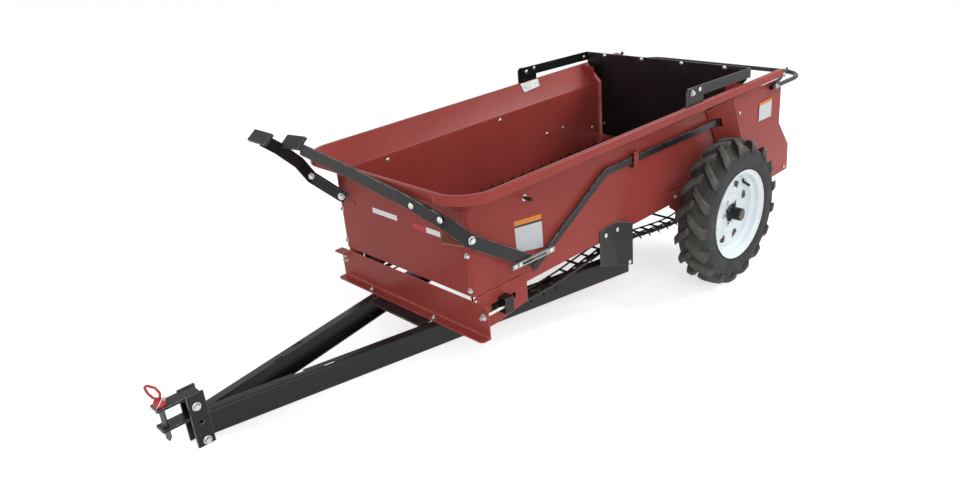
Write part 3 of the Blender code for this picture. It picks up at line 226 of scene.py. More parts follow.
def rounded(points, radius, steps=4, closed=False, flat=2):
    """Rounds the corners of a line: a corner C gives way to the curve (1-t)(1-t)A + 2t(1-t)C + ttB, where A
    and B lie on its two sides, radius times the tangent of half the turn away. Only the first flat
    coordinates decide the turn; the others go along."""
    p = np.asarray(points, float)
    before, after = np.roll(p, 1, 0), np.roll(p, -1, 0)
    into, out = p - before, after - p
    a = np.linalg.norm(into[:, :flat], axis=1, keepdims=True)
    b = np.linalg.norm(out[:, :flat], axis=1, keepdims=True)
    u, v = into / a, out / b
    turn = np.arccos(np.clip((u[:, :flat] * v[:, :flat]).sum(1, keepdims=True), -1, 1))
    wanted = np.broadcast_to(np.reshape(radius, (-1, 1)), turn.shape) * np.tan(turn / 2)
    reach = np.minimum(wanted, 0.45 * np.minimum(a, b))
    start, end = (p - u * reach)[:, None], (p + v * reach)[:, None]
    t = np.linspace(0, 1, steps + 1)[None, :, None]
    curve = (1 - t) ** 2 * start + 2 * t * (1 - t) * p[:, None] + t**2 * end
    if closed:
        return curve.reshape(-1, p.shape[1])
    return np.vstack([p[:1], curve[1:-1].reshape(-1, p.shape[1]), p[-1:]])


def sides_of(line, thick):
    """The two sides of a bent sheet drawn as its middle line: each point moves half the thickness along the
    mean of its two edges' normals, lengthened so that the walls stay parallel."""
    flat = line[:, :2]
    edge = unit(np.diff(flat, axis=0))
    normal = np.stack([-edge[:, 1], edge[:, 0]], 1)
    first, second = np.vstack([normal[:1], normal]), np.vstack([normal, normal[-1:]])
    mean = unit(first + second)
    move = mean * (thick / 2 / (mean * first).sum(1, keepdims=True))
    left, right = line.copy(), line.copy()
    left[:, :2] += move
    right[:, :2] -= move
    return left, right


def bent_sheet(line, thick):
    """Closed outline of a bent sheet: out along one side and back along the other."""
    left, right = sides_of(np.asarray(line, float), thick)
    return np.vstack([left, right[::-1]])


def ring(radius, sides, centre=(0, 0)):
    turn = np.arange(sides) * 2 * math.pi / sides
    return np.stack([centre[0] + radius * np.cos(turn), centre[1] + radius * np.sin(turn)], 1)


def hexagon_of(half, sides):
    """Angles, and a hexagon's radius at each: half its width over the cosine of the angle from the middle of
    its flat."""
    turn = np.arange(sides) * 2 * math.pi / sides
    return turn, half / np.cos((turn + math.pi / 6) % (math.pi / 3) - math.pi / 6)


class Shape:
    """Surfaces gathered for one piece."""

    def __init__(self):
        self.points, self.faces, self.paint, self.count = [], [], [], 0

    def grid(self, points, around=False, along=False, caps=False, paint=0):
        """Rows and columns of points joined by four-sided faces. around joins the last column to the first,
        along the last row to the first, and caps fill the first and last rows."""
        rows, columns = points.shape[:2]
        index = np.arange(rows * columns).reshape(rows, columns) + self.count
        full = np.vstack([index, index[:1]]) if along else index
        full = np.hstack([full, full[:, :1]]) if around else full
        quads = np.stack([full[:-1, :-1], full[:-1, 1:], full[1:, 1:], full[1:, :-1]], -1).reshape(-1, 4)
        faces = quads.tolist()
        if caps:
            faces += [index[0].tolist(), index[-1].tolist()]
        self.faces += faces
        self.paint += [paint] * len(faces)
        self.points.append(points.reshape(-1, 3))
        self.count += rows * columns

    def lathe(self, profile, centre, axis, sides=32, closed=False, paint=0, angles=None):
        """Turns a profile of (along, radius) about an axis: centre + axis * along + radius * (u cos + v sin).
        A profile for each angle may be given."""
        turn = np.arange(sides) * 2 * math.pi / sides if angles is None else angles
        axis = unit(np.asarray(axis, float))
        helper = np.array((0, 0, 1.0) if abs(axis[2]) < 0.9 else (0, 1.0, 0))
        u = unit(np.cross(helper, axis))
        v = np.cross(axis, u)
        profile = np.asarray(profile, float)
        if profile.ndim == 2:
            profile = np.broadcast_to(profile, (len(turn), *profile.shape))
        spoke = u * np.cos(turn)[:, None] + v * np.sin(turn)[:, None]
        points = np.asarray(centre) + axis * profile[..., :1] + spoke[:, None] * profile[..., 1:]
        self.grid(points, around=closed, along=True, paint=paint)

    def sweep(self, path, section, up=(0, 0, 1), closed=False, paint=0):
        """Carries a flat closed section along a path. Its axes are the path's direction crossed with up, and
        that crossed with the direction; at a bend the section leans into the mitre plane."""
        path, section = np.asarray(path, float), np.asarray(section, float)
        ahead = unit(np.roll(path, -1, 0) - path)
        behind = np.roll(ahead, 1, 0)
        if not closed:
            ahead[-1] = ahead[-2]
            behind[0] = ahead[0]
        mitre = unit(ahead + behind)
        side = unit(np.cross(behind, np.asarray(up, float)))
        raised = np.cross(side, behind)
        offset = side[:, None] * section[None, :, :1] + raised[:, None] * section[None, :, 1:2]
        shift = (offset * mitre[:, None]).sum(-1, keepdims=True) / (behind * mitre).sum(-1)[:, None, None]
        points = path[:, None] + offset - behind[:, None] * shift
        self.grid(points, around=True, along=closed, caps=not closed, paint=paint)

    def prism(self, outline, axis, low, high):
        """Extrudes a flat outline along x, y or z."""
        outline = np.asarray(outline, float)
        order = {"x": (2, 0, 1), "y": (0, 2, 1), "z": (0, 1, 2)}[axis]
        rows = [np.column_stack([outline, np.full(len(outline), level)])[:, order] for level in (low, high)]
        self.grid(np.array(rows), around=True, caps=True)

    def drum(self, at, axis, steps, sides, paint=0):
        """A turned piece closed at both ends, from its steps of (along, radius)."""
        self.lathe([(steps[0][0], 0), *steps, (steps[-1][0], 0)], at, axis, sides, paint=paint)

    def dome(self, at, axis, radius, height, sides, steps=6):
        """A round head: along is height * sin t and radius is its own * cos t."""
        t = np.linspace(0, math.pi / 2, steps)
        curve = np.stack([height * np.sin(t), radius * np.cos(t)], 1)
        self.lathe(np.vstack([[(-0.001, 0), (-0.001, radius)], curve]), at, axis, sides)

    def bolt(self, at, axis, kind, across):
        """A washer, and on it a hexagon with a chamfered top and a bolt's end, or a round head."""
        half = across / 2
        if kind == "round":
            self.dome(at, axis, half, half * 0.42, 24)
            return
        self.drum(at, axis, [(-0.001, half * 1.5), (0.0012, half * 1.5), (0.0018, half * 1.42)], 28)
        turn, hexagon = hexagon_of(half, 36)
        tall = half * 0.95
        along, share = np.array([(0.0012, 0), (0.0012, 1), (tall * 0.8, 1), (tall, 0.93), (tall, 0)]).T
        most = np.where(along < tall, half * 1.155, half)
        radius = np.minimum(hexagon[:, None] * share, most)
        self.lathe(np.stack([np.broadcast_to(along, radius.shape), radius], -1), at, axis, angles=turn)
        if kind == "nut":
            end = half * 0.56
            self.drum(at, axis, [(0.002, end), (tall * 1.5, end), (tall * 1.62, end * 0.8)], 16)


def solid(name, shape):
    """The mesh of a shape, its points merged and its faces turned outwards, as an object of the scene."""
    mesh = bpy.data.meshes.new(name)
    mesh.from_pydata(placed(np.vstack(shape.points)).tolist(), [], shape.faces)
    mesh.polygons.foreach_set("material_index", shape.paint)
    bm = bmesh.new()
    bm.from_mesh(mesh)
    bmesh.ops.remove_doubles(bm, verts=bm.verts, dist=1e-5)
    bmesh.ops.dissolve_degenerate(bm, edges=bm.edges, dist=1e-6)
    bmesh.ops.recalc_face_normals(bm, faces=bm.faces)
    bm.to_mesh(mesh)
    bm.free()
    made = bpy.data.objects.new(name, mesh)
    bpy.context.scene.collection.objects.link(made)
    return made


def cut_out(made, holes):
    """Takes a shape of holes away from a piece with an exact Boolean. The result becomes the piece's mesh."""
    tool = solid("holes", holes)
    boolean = made.modifiers.new("holes", "BOOLEAN")
    boolean.operation = "DIFFERENCE"
    boolean.solver = "EXACT"
    boolean.object = tool
    graph = bpy.context.evaluated_depsgraph_get()
    whole = made.data
    made.data = bpy.data.meshes.new_from_object(made.evaluated_get(graph))
    made.modifiers.clear()
    spare = tool.data
    bpy.data.objects.remove(tool)
    bpy.data.meshes.remove(spare)
    bpy.data.meshes.remove(whole)


# Degrees between faces past which a line shows: on pieces with softened edges, and on plain ones.
SOFTENED_SHARP = 30
PLAIN_SHARP = 32


def make(name, shape, finishes, nodes=(), body="spreader", edge=0.0, sharp=None, edge_wear_and_highlight=True, holes=None):
    """The object of a shape, in place of the frame's nodes: its holes cut, its finishes given, the first of
    which picks its edge finish, and its edges softened in that edge finish where there is one: a lighter
    tone, partly rubbed wear and partly painted highlight."""
    made = solid(name, shape)
    if holes:
        cut_out(made, holes)
        made.data.materials.clear()
    made.data.name = name
    finishes = finishes.split()
    for finish in finishes:
        made.data.materials.append(FINISHES[finish])
    made.data.shade_smooth()
    made.data.set_sharp_from_angle(angle=math.radians(sharp or (SOFTENED_SHARP if edge else PLAIN_SHARP)))
    if edge:
        soften(made, edge, FINISHES.get(finishes[0] + "_edge") if edge_wear_and_highlight else None)
    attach(made, body)
    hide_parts(*nodes)


def soften(made, width, edge_wear_and_highlight=None, weld=False):
    """Rounds a piece's sharp edges, which take the edge finish: a lighter tone, partly rubbed wear and partly
    painted highlight.
    """
    if weld:
        joined = made.modifiers.new("joined corners", "WELD")
        joined.merge_threshold = 1e-5
    round_edges = made.modifiers.new("rounded edges", "BEVEL")
    round_edges.width = width
    round_edges.segments = 2
    round_edges.limit_method = "ANGLE"
    round_edges.angle_limit = math.radians(SOFTENED_SHARP)
    round_edges.harden_normals = True
    if edge_wear_and_highlight:
        made.data.materials.append(edge_wear_and_highlight)
        round_edges.material = len(made.data.materials) - 1


class Value:
    """A node's output, so that shader maths reads as an expression of numbers and outputs."""

    def __init__(self, nodes, socket):
        self.nodes, self.socket = nodes, socket

    def maths(self, operation, first, second=0.5):
        return self.nodes.add("ShaderNodeMath", {"operation": operation}, {0: first, 1: second})

    def __add__(self, other):
        return self.maths("ADD", self, other)

    __radd__ = __add__

    def __sub__(self, other):
        return self.maths("SUBTRACT", self, other)

    def __rsub__(self, other):
        return self.maths("SUBTRACT", other, self)

    def __mul__(self, other):
        return self.maths("MULTIPLY", self, other)

    __rmul__ = __mul__

    def __pow__(self, other):
        return self.maths("POWER", self, other)


class Nodes:
    """A material's or a world's node tree, and the one way to add a node to it."""

    def __init__(self, name, holders=None):
        self.holder = (bpy.data.materials if holders is None else holders).new(name)
        self.holder.use_nodes = True
        self.tree = self.holder.node_tree
        self.shader = self.tree.nodes.get("Principled BSDF")

    def add(self, kind, settings=None, inputs=None, output=0):
        node = self.tree.nodes.new(kind)
        for key, value in (settings or {}).items():
            setattr(node, key, value)
        self.set(node, inputs or {})
        return None if output is None else Value(self, node.outputs[output])

    def set(self, node, inputs):
        """Sets a node's inputs by name or number: an output is linked to one, anything else is its value."""
        for key, value in inputs.items():
            if isinstance(value, Value):
                self.tree.links.new(value.socket, node.inputs[key])
            else:
                node.inputs[key].default_value = value

    def place(self):
        return self.add("ShaderNodeTexCoord", output="Object")

    def seen(self):
        """One for what the camera, a mirror or glass looks at directly, nought for light that bounces."""
        rays = [self.add("ShaderNodeLightPath", output=name)
                for name in ("Is Camera Ray", "Is Glossy Ray", "Is Transmission Ray")]
        return rays[0] + rays[1] + rays[2]

    def noise(self, scale, detail=3.0, rough=0.5, stretch=(1, 1, 1)):
        vector = self.place()
        if stretch != (1, 1, 1):
            vector = self.add("ShaderNodeMapping", None, {"Vector": vector, "Scale": stretch})
        return self.add("ShaderNodeTexNoise", None,
                        {"Vector": vector, "Scale": scale, "Detail": detail, "Roughness": rough})

    def ramp(self, value, low, high):
        """Nought below low, one above high."""
        return self.add("ShaderNodeMapRange", None, {"Value": value, "From Min": low, "From Max": high})

    def mix(self, factor, first, second):
        first = (*first, 1) if isinstance(first, tuple) else first
        second = (*second, 1) if isinstance(second, tuple) else second
        return self.add("ShaderNodeMix", {"data_type": "RGBA"}, {0: factor, 6: first, 7: second}, 2)

    def bump(self, height, distance):
        return self.add("ShaderNodeBump", None, {"Height": height, "Distance": distance, "Strength": 1.0})

    def finish(self, colour, rough, normal=None, metal=0.0, specular=0.5):
        inputs = {"Base Color": colour, "Roughness": rough, "Metallic": metal, "Specular IOR Level": specular}
        if normal:
            inputs["Normal"] = normal
        self.set(self.shader, inputs)
        return self.holder


def darker(colour, share):
    return tuple(channel * share for channel in colour)


def paint_finish(name, colour, dust, rough, dusty=0.1, peel=0.00012, specular=0.11):
    """Sprayed paint: broad changes of tone, a film of dust that settles in patches and low down, fine
    scratches, and the ripple of a sprayed coat."""
    n = Nodes(name)
    tone = n.ramp(n.noise(2.6, 3.0, 0.5), 0.3, 0.7)
    base = n.mix(tone, darker(colour, 0.9), darker(colour, 1.08))
    patch = n.ramp(n.noise(9.0, 5.0, 0.62), 0.48, 0.8)
    height = n.add("ShaderNodeSeparateXYZ", None, {0: n.place()}, "Z")
    low = 1 - n.ramp(height, 0.12, 0.75)
    film = (patch + low * 0.5) * dusty
    base = n.mix(film, base, dust)
    scratch = n.ramp(n.noise(60.0, 4.0, 0.75, (1.0, 0.12, 1.4)), 0.7, 0.76)
    base = n.mix(scratch * 0.16, base, dust)
    gloss = rough + patch * 0.1 + scratch * 0.15 + film * 0.3
    return n.finish(base, gloss, n.bump(n.noise(420.0, 2.0, 0.5) + scratch * -0.5, peel), specular=specular)


def rubbed_and_lit_edge_finish(name, colour, bright, rough):
    """A rounded edge in a tone lighter than its paint along its whole length, which is painted highlight, and
    lighter still in short lengths of rubbed wear and painted highlight.
    """
    n = Nodes(name)
    edge_wear_and_highlight = n.ramp(n.noise(34.0, 4.0, 0.7), 0.42, 0.62)
    base = n.mix(edge_wear_and_highlight, colour, bright)
    return n.finish(base, rough + edge_wear_and_highlight * 0.1, n.bump(n.noise(300.0), 0.0001), specular=0.3)


def metal_finish(name, colour, rough, spread, metal=1.0):
    """Plated or bare metal: cloudy tone, mottled gloss and a fine grain."""
    n = Nodes(name)
    cloud = n.ramp(n.noise(24.0, 4.0, 0.6), 0.3, 0.72)
    base = n.mix(cloud, darker(colour, 1 - spread), colour)
    mottle = n.noise(85.0, 3.0, 0.6)
    return n.finish(base, rough + mottle * 0.16, n.bump(n.noise(160.0, 4.0, 0.7), 0.00015), metal)


def rubber_finish(name, sign, colour, dust):
    """Tyre rubber: the distance from the axle, the root of its two squares, brings the brown dust of the lugs
    in above the carcass, and thin turned lines run round the sidewall below it."""
    n = Nodes(name)
    centre = placed(wheel_centre(sign))
    away = n.add("ShaderNodeVectorMath", {"operation": "SUBTRACT"}, {0: n.place(), 1: tuple(centre)})
    across = n.add("ShaderNodeSeparateXYZ", None, {0: away}, "Y")
    upward = n.add("ShaderNodeSeparateXYZ", None, {0: away}, "Z")
    radius = (across * across + upward * upward) ** 0.5
    tread = n.ramp(radius, 0.296, 0.324)
    patch = n.ramp(n.noise(16.0, 5.0, 0.66), 0.4, 0.7)
    base = n.mix(tread * (patch * 0.75 + 0.35), colour, dust)
    base = n.mix(n.ramp(n.noise(5.0, 3.0), 0.45, 0.75) * 0.1, base, darker(dust, 0.3))
    lines = n.add("ShaderNodeMath", {"operation": "SINE"}, {0: radius * 2600.0}) * (1 - tread)
    return n.finish(base, 0.62 + patch * 0.2,
                    n.bump(n.noise(230.0, 4.0, 0.7) + lines * 0.06, 0.0004), specular=0.35)


def floor_finish(name, colour, glow):
    """Pale floor: plain diffuse paper, to which the camera and mirrors add a glow so that it shows white."""
    n = Nodes(name)
    speck = n.noise(30.0, 3.0)
    n.finish(n.mix(speck, darker(colour, 0.99), colour), 0.9, specular=0.0)
    glowing = n.mix(n.seen(), (0.0, 0.0, 0.0), (1.0, 1.0, 1.0))
    n.set(n.shader, {"Emission Color": glowing, "Emission Strength": glow})
    return n.holder


FINISHES = {}


def make_finishes(colours):
    """All finishes by name, from the colours in the panel."""
    red, black, rim, zinc, dust = (
        tuple(getattr(colours, name)) for name in ("red_paint", "black_paint", "rim_paint", "zinc", "dust"))
    FINISHES.update({
        "red": paint_finish("red_paint", red, (0.44, 0.2, 0.17), 0.28, 0.06),
        # The _edge finishes are lighter than their paint: partly rubbed wear and partly painted highlight on
        # the rounded edges.
        "red_edge": rubbed_and_lit_edge_finish("red_paint_rubbed_and_lit_edge", darker(red, 1.35), (0.66, 0.26, 0.2), 0.26),
        "black": paint_finish("black_paint", black, (0.06, 0.058, 0.054), 0.3, 0.05, specular=0.28),
        "black_edge": rubbed_and_lit_edge_finish("black_paint_rubbed_and_lit_edge", darker(black, 7.0), (0.4, 0.38, 0.34), 0.32),
        "chain": metal_finish("chain_steel", (0.035, 0.033, 0.03), 0.4, 0.35, 0.55),
        "white": paint_finish("white_rim", rim, (0.52, 0.52, 0.48), 0.26, 0.05, specular=0.4),
        "zinc": metal_finish("zinc", zinc, 0.24, 0.25),
        "plated": metal_finish("plated_steel", darker(zinc, 0.52), 0.38, 0.35, 0.9),
        "brass": metal_finish("yellow_zinc", (0.24, 0.18, 0.07), 0.34, 0.35, 0.85),
        "steel": metal_finish("steel", (0.16, 0.15, 0.14), 0.4, 0.35),
        "handle": paint_finish("handle_red", (0.52, 0.05, 0.06), (0.62, 0.22, 0.2), 0.34, 0.1),
        "grip": paint_finish("grip_black", (0.036, 0.037, 0.033), (0.13, 0.13, 0.12), 0.46, 0.2),
        "blank": paint_finish("label_white", (0.58, 0.61, 0.63), (0.4, 0.42, 0.44), 0.32, 0.18, 0.00003),
        # The shelf's light tan is painted light: the tone of a lit top face, on a shelf that the lever above
        # shades, with heavy dust.
        "shelf": paint_finish("shelf_painted_light", (0.4, 0.17, 0.1), (0.6, 0.4, 0.28), 0.45, 0.45, specular=0.1),
        "strip": paint_finish("strip_white", (0.86, 0.87, 0.88), (0.6, 0.61, 0.62), 0.3, 0.1, 0.00003),
        "orange": paint_finish("label_orange", (0.68, 0.25, 0.05), (0.6, 0.36, 0.2), 0.32, 0.12, 0.00003),
        "pink": paint_finish("label_red", (0.52, 0.06, 0.08), (0.6, 0.25, 0.25), 0.32, 0.12, 0.00003),
        "dark": paint_finish("label_dark", (0.03, 0.03, 0.032), (0.12, 0.12, 0.12), 0.4, 0.12, 0.00003),
    })
    FINISHES["grip_edge"] = FINISHES["black_edge"]
    for side, sign in SIDES:
        FINISHES["rubber_" + side] = rubber_finish("tyre_rubber_" + side, sign, (0.021, 0.021, 0.021), dust)


def wheel_tyre(sizes, side, sign):
    """Carcass turned from a rounded profile, with bars that sweep from the tread's middle to the shoulder.

    A bar's point is at the turn base + sweep * across / tread half + its half angle * v, at a radius between
    just under the carcass and its own top, which falls towards the shoulder and ends there in a blunt face.
    """
    centre = wheel_centre(sign)
    half = [(0.0572, 0.1926), (0.066, 0.206), (0.069, 0.217), (0.0742, 0.2235), (0.0742, 0.2275),
            (0.0758, 0.235), (0.077, 0.26), (0.0752, 0.286), (0.069, 0.304), (0.04, 0.3135)]
    outer = half + [(0.0, 0.317)] + [(-a, r) for a, r in half[::-1]]
    line = rounded(outer, 0.03, 3)
    profile = np.vstack([line, [(-0.05, 0.1926), (0.05, 0.1926)]])
    shape = Shape()
    shape.lathe(profile, centre, (1, 0, 0), 168, closed=True)
    pitch = 2 * math.pi / sizes.lugs
    sweep = math.radians(11.5)
    rows = np.array([
        (-0.006, 0.312), (-0.0052, 0.3395), (-0.0025, 0.343), (0.012, 0.343), (0.028, 0.3424),
        (0.046, 0.3408), (0.06, 0.338), (0.067, 0.3345), (0.072, 0.328), (0.0755, 0.316),
        (0.0772, 0.302), (0.0774, 0.295), (0.0758, 0.288)])
    across, top = rows[:, 0], rows[:, 1]
    under = np.interp(across, [0.0, 0.04, 0.069, 0.0752, 0.08], [0.315, 0.3115, 0.302, 0.29, 0.285])
    under = np.minimum(under, top - 0.0005)
    wide = np.interp(across, [-0.006, 0.02, 0.066, 0.079], [0.8, 0.94, 1.04, 1.1]) * pitch * 0.158
    section = np.array([(-1.24, 0.0), (-1.12, 0.45), (-1.04, 0.84), (-0.96, 0.96), (-0.84, 1.0), (0.0, 1.0),
                        (0.84, 1.0), (0.96, 0.96), (1.04, 0.84), (1.12, 0.45), (1.24, 0.0)])
    for k in range(sizes.lugs):
        for hand, share in ((-1, 0.135), (1, 0.635)):
            turn = pitch * (k + share) + sweep * np.minimum(across, 0.072) / 0.068
            angle = turn[:, None] + wide[:, None] * section[None, :, 0]
            radius = under[:, None] + (top - under)[:, None] * section[None, :, 1]
            x = np.broadcast_to((hand * across)[:, None], angle.shape)
            points = centre + np.stack([x, -radius * np.sin(angle), radius * np.cos(angle)], -1)
            shape.grid(points, around=True, caps=True)
    make("wheel_tyre_" + side, shape, "rubber_" + side, ["tyre_" + side], "wheel_" + side, sharp=38)


def wheel_rim(sizes, side, sign):
    """Rim: a barrel turned from a bent sheet, and a pressed disc with windows, its lug nuts and valve stem.

    Round each window the disc is a grid between the window's edge, a rounded four-sided curve, and the edge
    of its sector: window + (sector - window) * s. Ribs rise between windows with the cosine of the angle.
    """
    centre = wheel_centre(sign)
    shape = Shape()
    half = [(0.0722, 0.2098), (0.0676, 0.2086), (0.0622, 0.199), (0.0585, 0.1908), (0.036, 0.1888),
            (0.025, 0.1745)]
    line = rounded(half + [(-a, r) for a, r in half[::-1]], 0.006, 4)
    shape.lathe(bent_sheet(line, 0.003), centre, (1, 0, 0), 144, closed=True)
    bead = ring(0.0019, 10, half[0])
    shape.lathe(bead, centre, (1, 0, 0), 144, closed=True)
    windows = sizes.windows
    sector = math.pi / windows
    inner, outer, mid = 0.098, 0.164, 0.1315
    t = np.arange(40) * 2 * math.pi / 40 - math.pi / 4
    square = np.stack([np.cos(t), np.sin(t)], 1)
    edge = square / np.abs(square).max(1, keepdims=True)
    hole = np.sign(square) * np.abs(square) ** 0.62
    sides = np.tan(np.linspace(-math.pi / 4, math.pi / 4, 11))[:-1] * sector
    spokes = ((np.arange(windows)[:, None] + 0.5) * 2 * sector + sides).ravel()

    def level_at(radius, turn):
        base = np.interp(radius, [0.026, 0.066, 0.078, 0.15, 0.168, 0.18],
                         [0.0165, 0.0165, 0.014, 0.0125, 0.0085, 0.0042])
        rib = np.clip(np.minimum((radius - 0.076) / 0.02, (0.168 - radius) / 0.02), 0, 1)
        return base + 0.0035 * rib * np.clip(np.cos(windows * turn), 0, 1) ** 0.5

    def on_disc(radius, turn, push):
        x = sign * (level_at(radius, turn) + push)
        return centre + np.stack([np.broadcast_to(x, radius.shape), radius * np.sin(turn),
                                  radius * np.cos(turn)], -1)

    thick = 0.0034
    for k in range(windows):
        turn = 2 * sector * (k + 0.5)
        hole_r = mid + 0.019 * hole[:, 0]
        hole_t = turn + ((0.0215 + 0.005 * square[:, 0]) / mid) * hole[:, 1]
        edge_r = mid + (outer - inner) / 2 * edge[:, 0]
        edge_t = turn + sector * edge[:, 1]
        share = np.array([0.0, 0.12, 0.35, 0.7, 1.0])[:, None]
        r = hole_r + (edge_r - hole_r) * share
        a = hole_t + (edge_t - hole_t) * share
        front, back = on_disc(r, a, thick / 2), on_disc(r, a, -thick / 2)
        shape.grid(np.vstack([front[::-1], back]), around=True)
    for low, high in ((0.0302, inner), (outer, 0.1755)):
        radii = np.linspace(low, high, 8 if low < 0.05 else 3)
        r = np.broadcast_to(radii, (len(spokes), len(radii)))
        a = np.broadcast_to(spokes[:, None], r.shape)
        shape.grid(on_disc(r, a, thick / 2), along=True)
        shape.grid(on_disc(r, a, -thick / 2), along=True)
        wall_r = np.broadcast_to(low if low < 0.05 else high, (len(spokes), 1))
        wall = [on_disc(wall_r, spokes[:, None], push) for push in (thick / 2, -thick / 2)]
        shape.grid(np.concatenate(wall, 1), along=True)
    make("wheel_rim_" + side, shape, "white", ["rim_" + side], "wheel_" + side, sharp=40)
    fittings = Shape()
    for k in range(5):
        turn = 2 * math.pi * k / 5 + 0.87
        at = centre + (sign * 0.018, 0.058 * math.sin(turn), 0.058 * math.cos(turn))
        fittings.bolt(at, (sign, 0, 0), "hex", 0.017)
    make("lug_nuts_" + side, fittings, "zinc", body="wheel_" + side)
    stem = Shape()
    at = centre + (sign * 0.01, 0.163 * math.sin(0.75), 0.163 * math.cos(0.75))
    steps = [(-0.004, 0.0095), (0.003, 0.0092), (0.008, 0.0062), (0.026, 0.0052), (0.027, 0.0062),
             (0.04, 0.006), (0.044, 0.004)]
    stem.drum(at, (sign * 0.93, 0, -0.36), steps, 18)
    make("valve_stem_" + side, stem, "dark", body="wheel_" + side)


def wheel_hub(side, sign):
    """Hub turned from its profile, with its flange bolts, and the yellow castle nut and split pin."""
    centre = wheel_centre(sign)
    shape = Shape()
    profile = rounded([(-0.05, 0.0165), (-0.05, 0.0297), (0.002, 0.0297), (0.002, 0.06), (0.0138, 0.062),
                       (0.0138, 0.0297), (0.016, 0.0297), (0.016, 0.037), (0.022, 0.037), (0.024, 0.0297),
                       (0.076, 0.0297), (0.0785, 0.0268), (0.0785, 0.0165)], 0.0012, 2, closed=True)
    shape.lathe(profile, centre, (sign, 0, 0), 56, closed=True)
    for k in range(4):
        turn = math.pi / 2 * k + 0.5
        spot = centre + (sign * 0.0275, 0.0365 * math.sin(turn), 0.0365 * math.cos(turn))
        shape.drum(spot, (sign, 0, 0), [(-0.012, 0.008), (0.006, 0.008), (0.008, 0.0065)], 6)
    make("wheel_hub_" + side, shape, "black", ["hub_" + side], "wheel_" + side, 0.0006, 35)
    cap = Shape()
    turn, hexagon = hexagon_of(0.019, 48)
    crown = np.where(np.abs((turn + math.pi / 12) % (math.pi / 3) - math.pi / 12) < 0.14, 0.0765, 0.0805)
    along = (0.07, 0.07, 0.0765, crown, crown, 0.0765, 0.0765)
    radius = (0, hexagon, hexagon, np.minimum(hexagon, 0.0205), 0.0135, 0.013, 0)
    profile = np.stack([np.stack(np.broadcast_arrays(*values), -1) for values in (along, radius)], -1)
    cap.lathe(profile, centre, (sign, 0, 0), angles=turn)
    cap.drum(centre, (sign, 0, 0), [(0.07, 0.0115), (0.0795, 0.0115), (0.0805, 0.0105)], 24, 1)
    pin = np.array([(-0.022, -0.0065), (-0.02, -0.001), (0.02, -0.001), (0.0225, -0.007)])
    bent = centre + np.column_stack([sign * (0.0786 + 0.35 * np.abs(pin[:, 1])), pin[:, 1] * 0.3, pin[:, 0]])
    cap.sweep(rounded(bent, 0.004, 3, flat=3), ring(0.0016, 8), up=(sign, 0, 0), paint=1)
    make("castle_nut_" + side, cap, "brass steel", body="wheel_" + side)


def box_walls():
    """Side walls with their flared rim, folded lip and rounded front corner, the front wall between them, and
    the strap keepers, studs and lever shelf on them.

    The wall's bent middle line is thickened. Each of its points is a half width, a height, and the centre of
    its corner, first from side to side and then from front to rear. The wall runs straight from the rear and
    then round the corner: centre + radius * (cos, sin), where the radius is the half width less the centre's.
    """
    wall, lip, lip_top, lip_low = BOX_HALF - SHEET / 2, 0.5105, 0.8885, 0.855
    foot_corner, lip_corner = (0.385, -1.464), (0.36, -1.433)
    line = rounded([(wall, BOX_BOTTOM, *foot_corner), (wall, CREASE_Z, *foot_corner),
                    (0.4906, lip_top, *lip_corner), (lip, lip_top, *lip_corner), (lip, lip_low, *lip_corner)],
                   [0, 0.014, 0.009, 0.008, 0], 5)
    levels = np.linspace(BOX_BOTTOM, line[1, 1], 6)[1:-1]
    extra = np.array([(wall, level, *foot_corner) for level in levels])
    line = np.vstack([line[:1], extra, line[1:]])
    left, right = sides_of(line, SHEET)
    half, height, centre_x, centre_y = np.vstack([left, right[::-1]]).T
    radius = half - centre_x
    turn = np.radians(np.linspace(0, 90, 16))[:, None]
    for side, sign in SIDES:
        straight_y = np.stack([np.full(len(half), BOX_REAR), BOX_REAR * 0.5 + centre_y * 0.5])
        x = np.vstack([np.broadcast_to(half, straight_y.shape), centre_x + radius * np.cos(turn)])
        y = np.vstack([straight_y, centre_y - radius * np.sin(turn)])
        z = np.broadcast_to(height, x.shape).copy()
        z[3:] = np.maximum(z[3:], FRONT_FOOT_Z)
        shape = Shape()
        shape.grid(np.stack([sign * x, y, z], -1), around=True, caps=True)
        make("box_side_" + side, shape, "red", ["side_panel_" + side], edge=0.0008)
    edge = centre_x - 0.0002
    rows = np.array([-1, -0.5, 0, 0.5, 1])[:, None]
    z = np.maximum(height, FRONT_FOOT_Z)
    points = np.stack([rows * edge, np.broadcast_to(centre_y - radius, (5, len(edge))),
                       np.broadcast_to(z, (5, len(edge)))], -1)
    shape = Shape()
    shape.grid(points, around=True, caps=True)
    shape.dome((-0.2931, FRONT_Y, 0.6807), AHEAD, 0.0125, 0.0035, 28, 8)
    make("box_front", shape, "red", ["front_panel"], edge=0.0008)
    keepers = Shape()
    for sign in (1, -1):
        corner = rounded([(0.3995, 0.652), (0.3995, 0.688), (0.4265, 0.688), (0.4265, 0.754),
                          (0.3995, 0.754), (0.3995, 0.786)], 0.004, 3)
        outline = bent_sheet(corner, 0.004) * (sign, 1)
        keepers.prism(outline, "y", -0.532, -0.502)
    studs = Shape()
    for sign in (1, -1):
        at = (sign * BOX_HALF, -1.182, 0.757)
        studs.drum(at, (sign, 0, 0), [(0, 0.0125), (0.0022, 0.0125), (0.0026, 0.011)], 28)
        studs.drum(at, (sign, 0, 0), [(0.001, 0.0072), (0.04, 0.0072), (0.042, 0.005)], 22, 1)
    make("side_studs", studs, "zinc grip")
    make("strap_keepers", keepers, "red", edge=0.0008)
    bracket = Shape()
    shelf = [(0.262, FRONT_Y + 0.001), (0.3255, -1.5437), (0.415, -1.515), (0.399, FRONT_Y + 0.001)]
    bracket.prism(shelf, "z", 0.68, 0.684)
    # The shelf's finish paints light on its top face, which the lever above shades.
    make("lever_shelf", bracket, "shelf", edge=0.0008)


